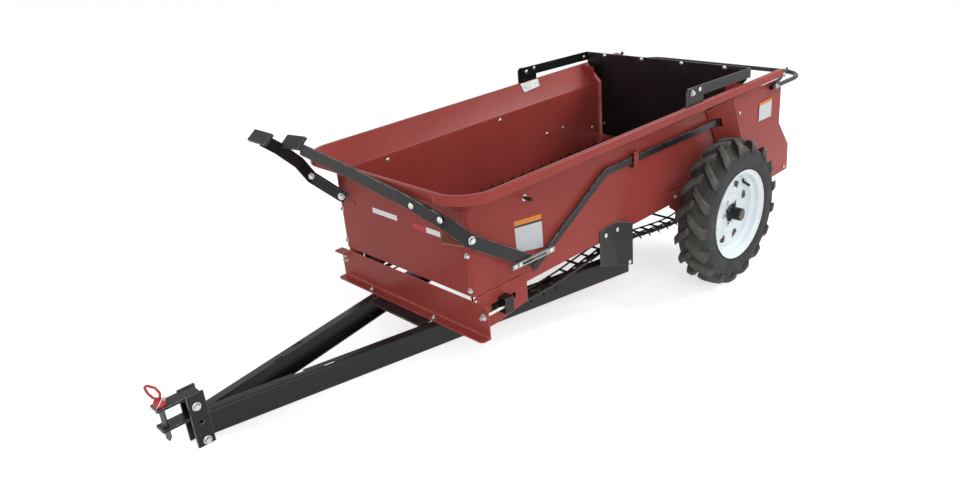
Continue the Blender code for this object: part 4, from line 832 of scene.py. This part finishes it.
def box_bolster():
    """Bent sheet under the front, whose lower flange has rounded ends, with its web behind the front wall."""
    shape = Shape()
    low, front = BOLSTER_LOW, BOLSTER_Y - BOLSTER_FLANGE
    h = BOLSTER_HALF
    outline = rounded([(-h, BOLSTER_Y + 0.005), (-h, front), (h, front), (h, BOLSTER_Y + 0.005)],
                      [0, 0.022, 0.022, 0], 6)
    shape.prism(outline, "z", low, low + 0.005)
    web = rounded([(-h, low + 0.001), (h, low + 0.001), (h, BOLSTER_TOP), (-h, BOLSTER_TOP)],
                  [0.001, 0.001, 0.016, 0.016], 5, closed=True)
    shape.prism(web, "y", BOLSTER_Y, BOLSTER_Y + 0.005)
    fillet = [(0.001, 0.004), (-0.008, 0.0045), (-0.004, 0.0062), (-0.0012, 0.009), (-0.0001, 0.014),
              (0.001, 0.014)] + np.array((BOLSTER_Y, low))
    shape.prism(fillet, "x", -h + 0.004, h - 0.004)
    rear, front = BOLSTER_Y + 0.004, BOLSTER_Y - 0.04
    tab = rounded([(-h, rear), (-h, front), (-h + 0.062, front), (-h + 0.076, rear)], [0, 0.01, 0.01, 0], 4)
    shape.prism(tab, "z", BOLSTER_TOP - 0.004, BOLSTER_TOP)
    make("bolster_sheet", shape, "red", ["bolster"], edge=0.001)


def channel(side, sign):
    """A tongue channel: its folded section carried from the hitch to the box, and cut square to the machine's
    length at the hitch, with two slots in its top and four blind holes in its web."""
    w, t, h = CHANNEL_FLANGE, CHANNEL_WALL, CHANNEL_TALL
    line = [(-w, t / 2), (-t / 2, t / 2), (-t / 2, h - t / 2), (-w, h - t / 2)]
    section = bent_sheet(rounded(line, 0.006, 4), t) * (sign, 1)
    start, end = (np.array((sign * x, y, CHANNEL_LOW)) for x, y in (TIP, TAIL))
    shape = Shape()
    along = np.linspace(0, 1, 9)[:, None]
    path = start + (end - start) * along
    direction = unit(end - start)
    aside = np.cross(direction, (0, 0, 1))
    points = path[:, None] + aside * section[None, :, :1] + np.array((0, 0, 1)) * section[None, :, 1:2]
    points[0] -= direction * ((points[0, :, 1] - TIP[1]) / direction[1])[:, None]
    shape.grid(points, around=True, caps=True)
    holes = Shape()
    for x, y in ((0.068, -2.059), (0.107, -1.951)):
        spot = slot_outline((sign * x, y), direction[:2], 0.046, 0.012)
        holes.prism(spot, "z", CHANNEL_LOW + h - 0.012, CHANNEL_LOW + h + 0.004)
    for y in (-0.958, -1.02, -1.085, -1.152):
        z = np.interp(y, [-1.152, -0.958], [0.238, 0.262])
        x = TIP[0] + (y - TIP[1]) * (TAIL[0] - TIP[0]) / (TAIL[1] - TIP[1])
        holes.drum((sign * x, y, z), (sign, 0, 0), [(-0.0035, 0.0055), (0.004, 0.0055)], 20)
    make("tongue_rail_" + side, shape, "black", ["tongue_channel_" + side], edge=0.0007, holes=holes)


def apron_line(samples):
    """The chain's closed line: top run, half circle round the rear shaft, the return, which hangs and rises
    as its table says, and the half circle round the front shaft, at even steps of length."""
    turn = np.linspace(0, math.pi, 25)
    rear = np.stack([APRON_REAR + APRON_RADIUS * np.sin(turn), SHAFT_Z + APRON_RADIUS * np.cos(turn)], 1)
    shares, rises = np.transpose(APRON_RETURN)
    share = np.linspace(0, 1, 61)[1:-1]
    back = np.stack([APRON_REAR + (APRON_FRONT - APRON_REAR) * share,
                     SHAFT_Z - APRON_RADIUS + np.interp(share, shares, rises)], 1)
    front = np.stack([APRON_FRONT - APRON_RADIUS * np.sin(turn), SHAFT_Z - APRON_RADIUS * np.cos(turn)], 1)
    line = np.vstack([rear, back, front])
    line = np.vstack([line, line[:1]])
    length = np.concatenate([[0], np.cumsum(np.linalg.norm(np.diff(line, axis=0), axis=1))])
    wanted = (np.arange(samples) + 0.5) * length[-1] / samples
    return np.stack([np.interp(wanted, length, line[:, k]) for k in (0, 1)], 1), length[-1]


def apron():
    """Chain conveyor: each strand is a ladder of links, a stamped outer bar with an oval hole, a thin inner
    bar and a rung between them, and a barb turned out of each rung's end. Every fifth rung is a slat right
    across.

    A link is a frame between two outlines, an oval hole and a rounded square: its points are hole + (square -
    hole) * s, and it tips a little so that its rear end lies over the next one.
    """
    rods = APRON_RODS
    centres, length = apron_line(rods)
    pitch = length / rods
    ahead = unit(np.roll(centres, -1, 0) - np.roll(centres, 1, 0))
    outward = np.stack([-ahead[:, 1], ahead[:, 0]], 1)
    shape = Shape()
    strand = APRON_HALF - 0.014
    circle, oval, across = ring(1.0, 20), ring(1.0, 8), np.array((1.0, 0, 0))
    square = np.sign(circle) * np.abs(circle) ** 0.35
    hole = circle * (0.0115, 0.006)
    edge = square * (pitch / 2 + 0.003, 0.0135)
    bar = [(-0.006, -0.002), (0.006, -0.002), (0.006, 0.002), (-0.006, 0.002)]
    for k in range(rods):
        at = np.array((0, *centres[k]))
        forward, up = np.array((0, *ahead[k])), np.array((0, *outward[k]))
        here, there = centres[k], centres[(k + 1) % rods]
        forth = unit(there - here)
        link_ahead, link_up = np.array((0, *forth)), np.array((0, -forth[1], forth[0]))
        if k % 5 == 0:
            path = at + np.outer([-strand - 0.012, -strand, 0, strand, strand + 0.012], across)
            shape.sweep(path, ring(0.0058, 8), up=up)
        for sign in (1, -1):
            path = at + np.outer([strand - 0.054, strand, strand + 0.012], sign * across)
            shape.sweep(path, ring(0.0048, 8), up=up)
            ends = np.array([here - forth * 0.003, there + forth * 0.003])
            inner_bar = np.column_stack([np.full(2, sign * (strand - 0.05)), ends])
            shape.sweep(inner_bar, ring(0.004, 8), up=across)
            middle_point = np.array((sign * strand, *(here + there) / 2))

            def on_link(flat, push):
                lift = push + 0.002 * flat[:, :1] / (pitch / 2)
                return middle_point + link_ahead * flat[:, :1] + across * flat[:, 1:] + link_up * lift

            rows = [on_link(line, push)
                    for line, push in ((edge, -0.0021), (edge, 0.0021), (hole, 0.0021), (hole, -0.0021))]
            shape.grid(np.array(rows), around=True, along=True)
            outer_edge = np.array([(-pitch / 2 - 0.002, sign * 0.0118), (pitch / 2 + 0.002, sign * 0.0118)])
            shape.sweep(on_link(outer_edge, 0.004), bar, up=across)
            foot = at + np.array((sign * strand, 0, 0))
            spine = np.array([foot - up * 0.002 - forward * 0.004, foot + up * 0.014 + forward * 0.001,
                              foot + up * 0.025 - forward * 0.005, foot + up * 0.033 - forward * 0.015])
            widths = np.array([(0.0056, 0.01), (0.0044, 0.007), (0.0034, 0.005), (0.0012, 0.0018)])
            points = (spine[:, None] + forward * oval[None, :, :1] * widths[:, None, :1]
                      + across * oval[None, :, 1:] * widths[:, None, 1:])
            shape.grid(points, around=True, caps=True)
    make("apron_links", shape, "chain", ["apron_chain"], sharp=45)


def flare_height(x):
    """Height of the flare's inner face at a half width: it rises by 0.0941 over 0.0921."""
    return 0.7965 + (x - 0.397) * 1.0217


def gate_fittings():
    """The hinge brackets' plated feet, screwed to the flared rim, the rear guard's flattened ends, the
    gussets behind the flare and the gate's wings."""
    feet, tabs, gussets, wings = (Shape() for _ in range(4))
    corners = np.array([(0.4867, -0.2549), (0.4867, -0.1186), (0.4557, -0.1409), (0.4505, -0.2633)])
    out = np.array((-0.7147, 0, 0.6994))
    for sign in (1, -1):
        flat = np.column_stack([corners, flare_height(corners[:, 0])])
        rows = np.array([flat + out * lift for lift in (0.0006, 0.0036)])
        feet.grid(rows * (sign, 1, 1), around=True, caps=True)
        for x, y in ((0.4638, -0.2335), (0.4708, -0.1575)):
            at = np.array((x, y, flare_height(x))) + out * 0.0034
            feet.bolt(at * (sign, 1, 1), out * (sign, 1, 1), "round", 0.011)
        tab = rounded([(0.505, 0.803), (0.64, 0.872), (0.632, 0.89), (0.497, 0.822)], 0.008, 4, closed=True)
        tabs.prism(tab, "x", sign * 0.4995, sign * 0.5045)
        gussets.prism(np.array(GUSSET) * (sign, 1), "y", 0.232, 0.235)
        wings.prism(np.array(GATE_WING) * (sign, 1), "y", GATE_Y, GATE_Y + 0.003)
    make("flare_gussets", gussets, "red", edge=0.0005, edge_wear_and_highlight=False)
    make("gate_wings", wings, "black", body="end_gate", edge=0.0005)
    make("hinge_feet", feet, "plated", edge=0.0005)
    make("guard_tabs", tabs, "black", edge=0.0008)


def drawbar_pull():
    """The drawbar pin's moulded collar and pull loop, and the wire clip through it.

    The loop is a tube round a closed line in an upright plane through the pin; each of its points is a
    distance from the pin's axis and a height.
    """
    across = np.array((0.6691, 0.7431, 0))
    toward = np.array((0.7431, -0.6691, 0))
    pin = np.array((0, PIN_Y, 0))
    pull = Shape()
    pull.lathe(rounded([(-0.006, 0.0), (-0.006, 0.0195), (0.01, 0.0205), (0.02, 0.0165), (0.024, 0.0)],
                       [0, 0.003, 0.004, 0.006, 0], 4), pin + (0, 0, PIN_TOP), (0, 0, 1.0), 32)
    line = rounded(PULL_LOOP, 0.016, 5, closed=True)
    path = pin + across * line[:, :1] + np.array((0, 0, 1.0)) * line[:, 1:]
    pull.sweep(path, ring(0.0042, 12), up=toward, closed=True)
    make("drawbar_pull", pull, "handle", ["drawbar_pin_handle"], sharp=40)
    clip = Shape()
    line = np.array(CLIP_LINE)
    path = pin + toward * 0.024 + across * line[:, :1] + np.array((0, 0, 1.0)) * line[:, 1:]
    clip.sweep(rounded(path, 0.008, 4, flat=3), ring(0.002, 10), up=toward)
    make("drawbar_clip", clip, "zinc")


def levers():
    """Flat bars carried along the levers' paths, a flat pad across each bar's end, turned pivots and slotted
    links."""
    bar = np.array([(-0.004, -0.025), (0.004, -0.025), (0.004, 0.025), (-0.004, 0.025)])
    pivot = [(0, 0.013), (LEVER_X - BOX_HALF, 0.013)]
    upper = Shape()
    upper.sweep(rounded(UPPER_LEVER, 0.03, 4, flat=3), bar)
    start, bend = np.array(UPPER_LEVER[2]), np.array(UPPER_LEVER[3])
    lap = np.array([start - (bend - start) * 0.9, start, start + (bend - start) * 0.93]) - (0, 0.0062, 0)
    upper.sweep(lap, bar * (0.55, 0.985))
    upper.drum((0.4003, -1.45, 0.67), LEFT, pivot, 28)
    make("lever_bar_upper", upper, "black", ["lever_upper"], edge=0.0009)
    lower = Shape()
    lower.sweep(rounded(LOWER_LEVER, 0.03, 4, flat=3), bar)
    lower.sweep([LOWER_LEVER[2], LOWER_ARM_END], bar * (1.1, 0.92))
    lower.sweep([LOWER_LEVER[-1], LOWER_GRIP_END], bar * (0.98, 0.7))
    lower.drum((-0.4003, *LOWER_LEVER[1][1:]), RIGHT, pivot, 28)
    make("lever_bar_lower", lower, "black", ["lever_lower"], edge=0.0009)
    grip = Shape()
    for middle_point, long, short in GRIPS:
        across, upright = unit(np.array(long)), unit(np.array(short))
        out = unit(np.cross(across, upright)) * 0.006
        a, b = np.linalg.norm(long) / 2, np.linalg.norm(short) / 2
        flat = rounded([(-a, -b), (a, -b), (a, b), (-a, b)], 0.005, 4, closed=True)
        face = np.array(middle_point) + across * flat[:, :1] + upright * flat[:, 1:]
        grip.grid(np.array([face - out, face + out]), around=True, caps=True)
    make("lever_grips", grip, "grip", edge=0.0009)
    for side, sign in SIDES:
        link, holes = Shape(), Shape()
        link.prism(LINK, "x", sign * LINK_X[0], sign * LINK_X[1])
        slot = slot_outline((-1.198, 0.522), (1, -0.026), 0.15, 0.0085)
        holes.prism(slot, "x", sign * (LINK_X[0] - 0.004), sign * (LINK_X[1] + 0.004))
        link.drum((sign * 0.4185, -1.085, 0.514), (sign, 0, 0), [(0, 0.0075), (0.022, 0.0075)], 24)
        make("lever_link_" + side, link, "plated", ["control_link_" + side], edge=0.0008, holes=holes)


def fasteners():
    """Bolts, nuts and washers of the box, its plates, the gate, the levers and the hitch."""
    for name, (body, bolts) in BOLTS.items():
        shape = Shape()
        for bolt in bolts:
            shape.bolt(*bolt)
        make(name, shape, "zinc", body=body)


def front_plate(x0, x1, top, low):
    """Corners of an upright rectangle on the front wall."""
    return [(x0, FRONT_Y, top), (x1, FRONT_Y, top), (x1, FRONT_Y, low), (x0, FRONT_Y, low)]


def labels():
    """Blank plates: a thin sheet stuck flat where it sits, with coloured bands across it.

    A band's corners are top + (bottom - top) * share along the plate's two upright edges.
    """
    blank, orange, pink, dark, strip = range(5)
    shape = Shape()
    shield = SHIELD_X + SHEET
    plates = (
        (front_plate(-0.166, -0.008, 0.69, 0.668), AHEAD, [(1.0, strip)]),
        (front_plate(0.087, 0.168, 0.684, 0.662), AHEAD, [(1.0, pink)]),
        (front_plate(0.168, 0.247, 0.684, 0.662), AHEAD, [(1.0, strip)]),
        ([(BOX_HALF, -1.2449, 0.6797), (BOX_HALF, -1.0945, 0.6619), (BOX_HALF, -1.0919, 0.5201),
          (BOX_HALF, -1.2395, 0.5506)], LEFT, [(0.15, orange), (0.06, dark), (0.79, blank)]),
        ([(shield, 0.411, 0.752), (shield, 0.532, 0.756), (shield, 0.532, 0.66), (shield, 0.411, 0.662)],
         LEFT, [(0.16, orange), (0.84, blank)]))
    for corners, out, bands in plates:
        top_a, top_b, bottom_b, bottom_a = np.array(corners)
        out = np.array(out, float)
        at = 0.0
        for share, paint in bands:
            rows = np.array([[top_a + (bottom_a - top_a) * s, top_b + (bottom_b - top_b) * s]
                             for s in (at, at + share)])
            lower, upper = rows - out * 0.0002, rows + out * 0.0004
            loop = np.stack([lower[0], upper[0], upper[1], lower[1]], 1)
            shape.grid(loop, around=True, caps=True, paint=paint)
            at += share
    make("blank_labels", shape, "blank orange pink dark strip", sharp=30)


class SpreaderSizes(bpy.types.PropertyGroup):
    lugs: IntProperty(name="Lugs", description="Lugs on each side of a tyre", default=17, min=8, max=32)
    windows: IntProperty(name="Windows", description="Windows in a rim's disc", default=8, min=4, max=12)
    edge: FloatProperty(name="Edge", description="Width of the rounded edge on the plates", default=0.001,
                        min=0.0002, max=0.003, unit="LENGTH", precision=4)


class SpreaderColours(bpy.types.PropertyGroup):
    red_paint: FloatVectorProperty(name="Box paint", description="Red of the box", subtype="COLOR", size=3,
                                   default=(0.3, 0.048, 0.04), min=0, max=1)
    black_paint: FloatVectorProperty(name="Frame paint", description="Black of the frame and gate",
                                     subtype="COLOR", size=3, default=(0.008, 0.008, 0.009), min=0, max=1)
    rim_paint: FloatVectorProperty(name="Rim paint", description="Bluish white of the rims", subtype="COLOR",
                                   size=3, default=(0.8, 0.88, 0.91), min=0, max=1)
    zinc: FloatVectorProperty(name="Zinc", description="Plating of the fasteners", subtype="COLOR", size=3,
                              default=(0.66, 0.68, 0.66), min=0, max=1)
    dust: FloatVectorProperty(name="Dust", description="Dust on the tyres' lugs", subtype="COLOR", size=3,
                              default=(0.11, 0.105, 0.094), min=0, max=1)
    floor: FloatVectorProperty(name="Floor", description="Pale floor", subtype="COLOR", size=3,
                               default=(0.8, 0.8, 0.8), min=0, max=1)


class SpreaderStage(bpy.types.PropertyGroup):
    focal: FloatProperty(name="Focal length", description="Camera's focal length", default=30.502, min=10,
                         max=200, subtype="DISTANCE_CAMERA")
    key: FloatProperty(name="Key light", description="Power of the large light at the machine's left",
                       default=118, min=0, max=2000, subtype="POWER", unit="POWER")
    fill: FloatProperty(name="Front light", description="Power of the light ahead of the machine", default=72,
                        min=0, max=2000, subtype="POWER", unit="POWER")
    top: FloatProperty(name="Top light", description="Power of the light above", default=135, min=0, max=2000,
                       subtype="POWER", unit="POWER")
    air: FloatProperty(name="Surroundings", description="Strength of the even light from all round",
                       default=0.42, min=0, max=4)


class SPREADER_OT_stage(bpy.types.Operator):
    """Make the finishes, floor, lights and camera"""
    bl_idname = "spreader.stage"
    bl_label = "Stage"

    def execute(self, context):
        scene = context.scene
        make_finishes(scene.spreader_colours)
        build_stage(scene)
        return {"FINISHED"}


class SPREADER_OT_wheels(bpy.types.Operator):
    """Make both tyres, rims and hubs"""
    bl_idname = "spreader.wheels"
    bl_label = "Wheels"

    def execute(self, context):
        for side, sign in SIDES:
            wheel_tyre(context.scene.spreader_sizes, side, sign)
            wheel_rim(context.scene.spreader_sizes, side, sign)
            wheel_hub(side, sign)
        return {"FINISHED"}


class SPREADER_OT_box(bpy.types.Operator):
    """Make the box's walls, its bolster and its labels"""
    bl_idname = "spreader.box"
    bl_label = "Box"

    def execute(self, context):
        box_walls()
        box_bolster()
        labels()
        return {"FINISHED"}


class SPREADER_OT_tongue(bpy.types.Operator):
    """Make the tongue's rails"""
    bl_idname = "spreader.tongue"
    bl_label = "Tongue"

    def execute(self, context):
        for side, sign in SIDES:
            channel(side, sign)
        return {"FINISHED"}


class SPREADER_OT_apron(bpy.types.Operator):
    """Make the apron's chain, rods and barbs"""
    bl_idname = "spreader.apron"
    bl_label = "Apron"

    def execute(self, context):
        apron()
        return {"FINISHED"}


class SPREADER_OT_controls(bpy.types.Operator):
    """Make the levers, their grips and links, the gate's fittings and the drawbar pin's pull"""
    bl_idname = "spreader.controls"
    bl_label = "Controls"

    def execute(self, context):
        levers()
        gate_fittings()
        drawbar_pull()
        return {"FINISHED"}


class SPREADER_OT_fasteners(bpy.types.Operator):
    """Make the bolts and nuts"""
    bl_idname = "spreader.fasteners"
    bl_label = "Fasteners"

    def execute(self, context):
        fasteners()
        return {"FINISHED"}


class SPREADER_OT_plates(bpy.types.Operator):
    """Give the frame's own plates their finish and rounded edges"""
    bl_idname = "spreader.plates"
    bl_label = "Plates"

    def execute(self, context):
        dress_frame(context.scene.spreader_sizes)
        return {"FINISHED"}


class SPREADER_PT_panel(bpy.types.Panel):
    """Builds the spreader's pieces"""
    bl_idname = "SPREADER_PT_panel"
    bl_label = "Manure Spreader"
    bl_space_type = "VIEW_3D"
    bl_region_type = "UI"
    bl_category = "Spreader"

    def draw(self, context):
        layout = self.layout
        scene = context.scene
        for group in (scene.spreader_sizes, scene.spreader_colours, scene.spreader_stage):
            for name in group.__annotations__:
                layout.prop(group, name)
        for operator in OPERATORS:
            layout.operator(operator.bl_idname)


# The frame's own nodes that stay, by finish. An underscore at the end stands for the left and the right one.
CARRIED = {
    "red": "floor takeup_plate_ axle_plate_ drive_shield_",
    "black": "takeup_block_ tongue_tie hitch_cheek_ hitch_clevis hanger_ apron_shaft_front apron_shaft_rear "
             "beater_rotor gate_panel gate_frame gate_bracket_ rear_guard control_strap_",
    "zinc": "takeup_screw_",
    "steel": "drawbar_pin axle",
}
# Those whose edges stay as they are.
ROUND_NODES = ("axle", "rear_guard", "drawbar_pin", "takeup_screw_")


def dress_frame(sizes):
    """Gives the frame's own pieces their finish and, where they are bent plates, rounded edges."""
    for finish, names in CARRIED.items():
        for name in names.split():
            for side in ("left", "right") if name.endswith("_") else ("",):
                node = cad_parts[name + side]
                node.data.materials.clear()
                node.data.materials.append(FINISHES[finish])
                if name not in ROUND_NODES:
                    # Rounded edges take the edge finish: partly rubbed wear and partly painted highlight.
                    soften(node, sizes.edge, FINISHES.get(finish + "_edge"), weld=True)


def turned(vector):
    """A level direction tipped with the machine."""
    return placed(np.asarray(vector, float)) - placed((0, 0, 0))


def matrix_of(axes, where):
    """The matrix of an object with these three axes at this place."""
    return Matrix([(*row, place) for row, place in zip(np.array(axes).T, where)] + [(0, 0, 0, 1)])


def look(obj, at, target):
    """Points an object's -z axis from a place to a target."""
    at, target = np.asarray(at, float), np.asarray(target, float)
    back = unit(at - target)
    right = unit(np.cross((0, 0, 1.0), back))
    up = np.cross(back, right)
    obj.matrix_world = matrix_of([right, up, back], at)


def build_stage(scene):
    """Pale floor, soft lights all round and the camera at the photograph's angle."""
    settings = scene.spreader_stage
    floor = bpy.data.meshes.new("studio_floor")
    floor.from_pydata([(-30, -30, 0), (30, -30, 0), (30, 30, 0), (-30, 30, 0)], [], [(0, 1, 2, 3)])
    floor.materials.append(floor_finish("studio_floor", tuple(scene.spreader_colours.floor), glow=0.66))
    floor_object = bpy.data.objects.new("studio_floor", floor)
    scene.collection.objects.link(floor_object)
    for name, at, target, size, power in (
            ("key_light", (4.6, -2.2, 2.4), (0, 0, 0.4), 3.2, settings.key),
            ("front_light", (-2.4, -5.2, 2.6), (0, -0.6, 0.4), 3.0, settings.fill),
            ("top_light", (1.9, 3.5, 3.9), (-0.3, 0.1, 0.6), 1.9, settings.top)):
        data = bpy.data.lights.new(name, "AREA")
        data.shape = "SQUARE"
        data.size = size
        data.energy = power
        lamp = bpy.data.objects.new(name, data)
        scene.collection.objects.link(lamp)
        look(lamp, at, target)
    n = Nodes("studio_air", bpy.data.worlds)
    n.tree.nodes.clear()
    light = n.add("ShaderNodeBackground", None, {"Color": (1, 1, 1, 1), "Strength": settings.air})
    white = n.add("ShaderNodeBackground", None, {"Color": (1, 1, 1, 1), "Strength": 1.0})
    both = n.add("ShaderNodeMixShader", None, {0: n.seen(), 1: light, 2: white})
    n.add("ShaderNodeOutputWorld", None, {"Surface": both}, output=None)
    scene.world = n.holder
    around, above, roll = (math.radians(angle) for angle in (48.044, 24.229, -5.188))
    right = np.array((math.cos(around), math.sin(around), 0))
    flat = math.cos(above)
    back = np.array((math.sin(around) * flat, -math.cos(around) * flat, math.sin(above)))
    up = np.cross(back, right)
    side = math.cos(roll) * right + math.sin(roll) * up
    crown = -math.sin(roll) * right + math.cos(roll) * up
    data = bpy.data.cameras.new("photo_camera")
    data.lens = settings.focal
    camera = bpy.data.objects.new("photo_camera", data)
    scene.collection.objects.link(camera)
    where = placed((2.40064, -3.22553, 1.84334))
    camera.matrix_world = matrix_of([turned(side), turned(crown), turned(back)], where)
    scene.camera = camera
    scene.view_settings.view_transform = "Standard"


OPERATORS = (SPREADER_OT_stage, SPREADER_OT_box, SPREADER_OT_wheels, SPREADER_OT_tongue, SPREADER_OT_apron,
             SPREADER_OT_controls, SPREADER_OT_fasteners, SPREADER_OT_plates)
CLASSES = (SpreaderSizes, SpreaderColours, SpreaderStage, *OPERATORS, SPREADER_PT_panel)


def register():
    for found in CLASSES:
        bpy.utils.register_class(found)
    bpy.types.Scene.spreader_sizes = PointerProperty(type=SpreaderSizes)
    bpy.types.Scene.spreader_colours = PointerProperty(type=SpreaderColours)
    bpy.types.Scene.spreader_stage = PointerProperty(type=SpreaderStage)


def unregister():
    del bpy.types.Scene.spreader_stage
    del bpy.types.Scene.spreader_colours
    del bpy.types.Scene.spreader_sizes
    for found in reversed(CLASSES):
        bpy.utils.unregister_class(found)


def main():
    register()
    bpy.ops.spreader.stage()
    bpy.ops.spreader.box()
    bpy.ops.spreader.wheels()
    bpy.ops.spreader.tongue()
    bpy.ops.spreader.apron()
    bpy.ops.spreader.controls()
    bpy.ops.spreader.fasteners()
    bpy.ops.spreader.plates()


if __name__ == "__main__":
    main()
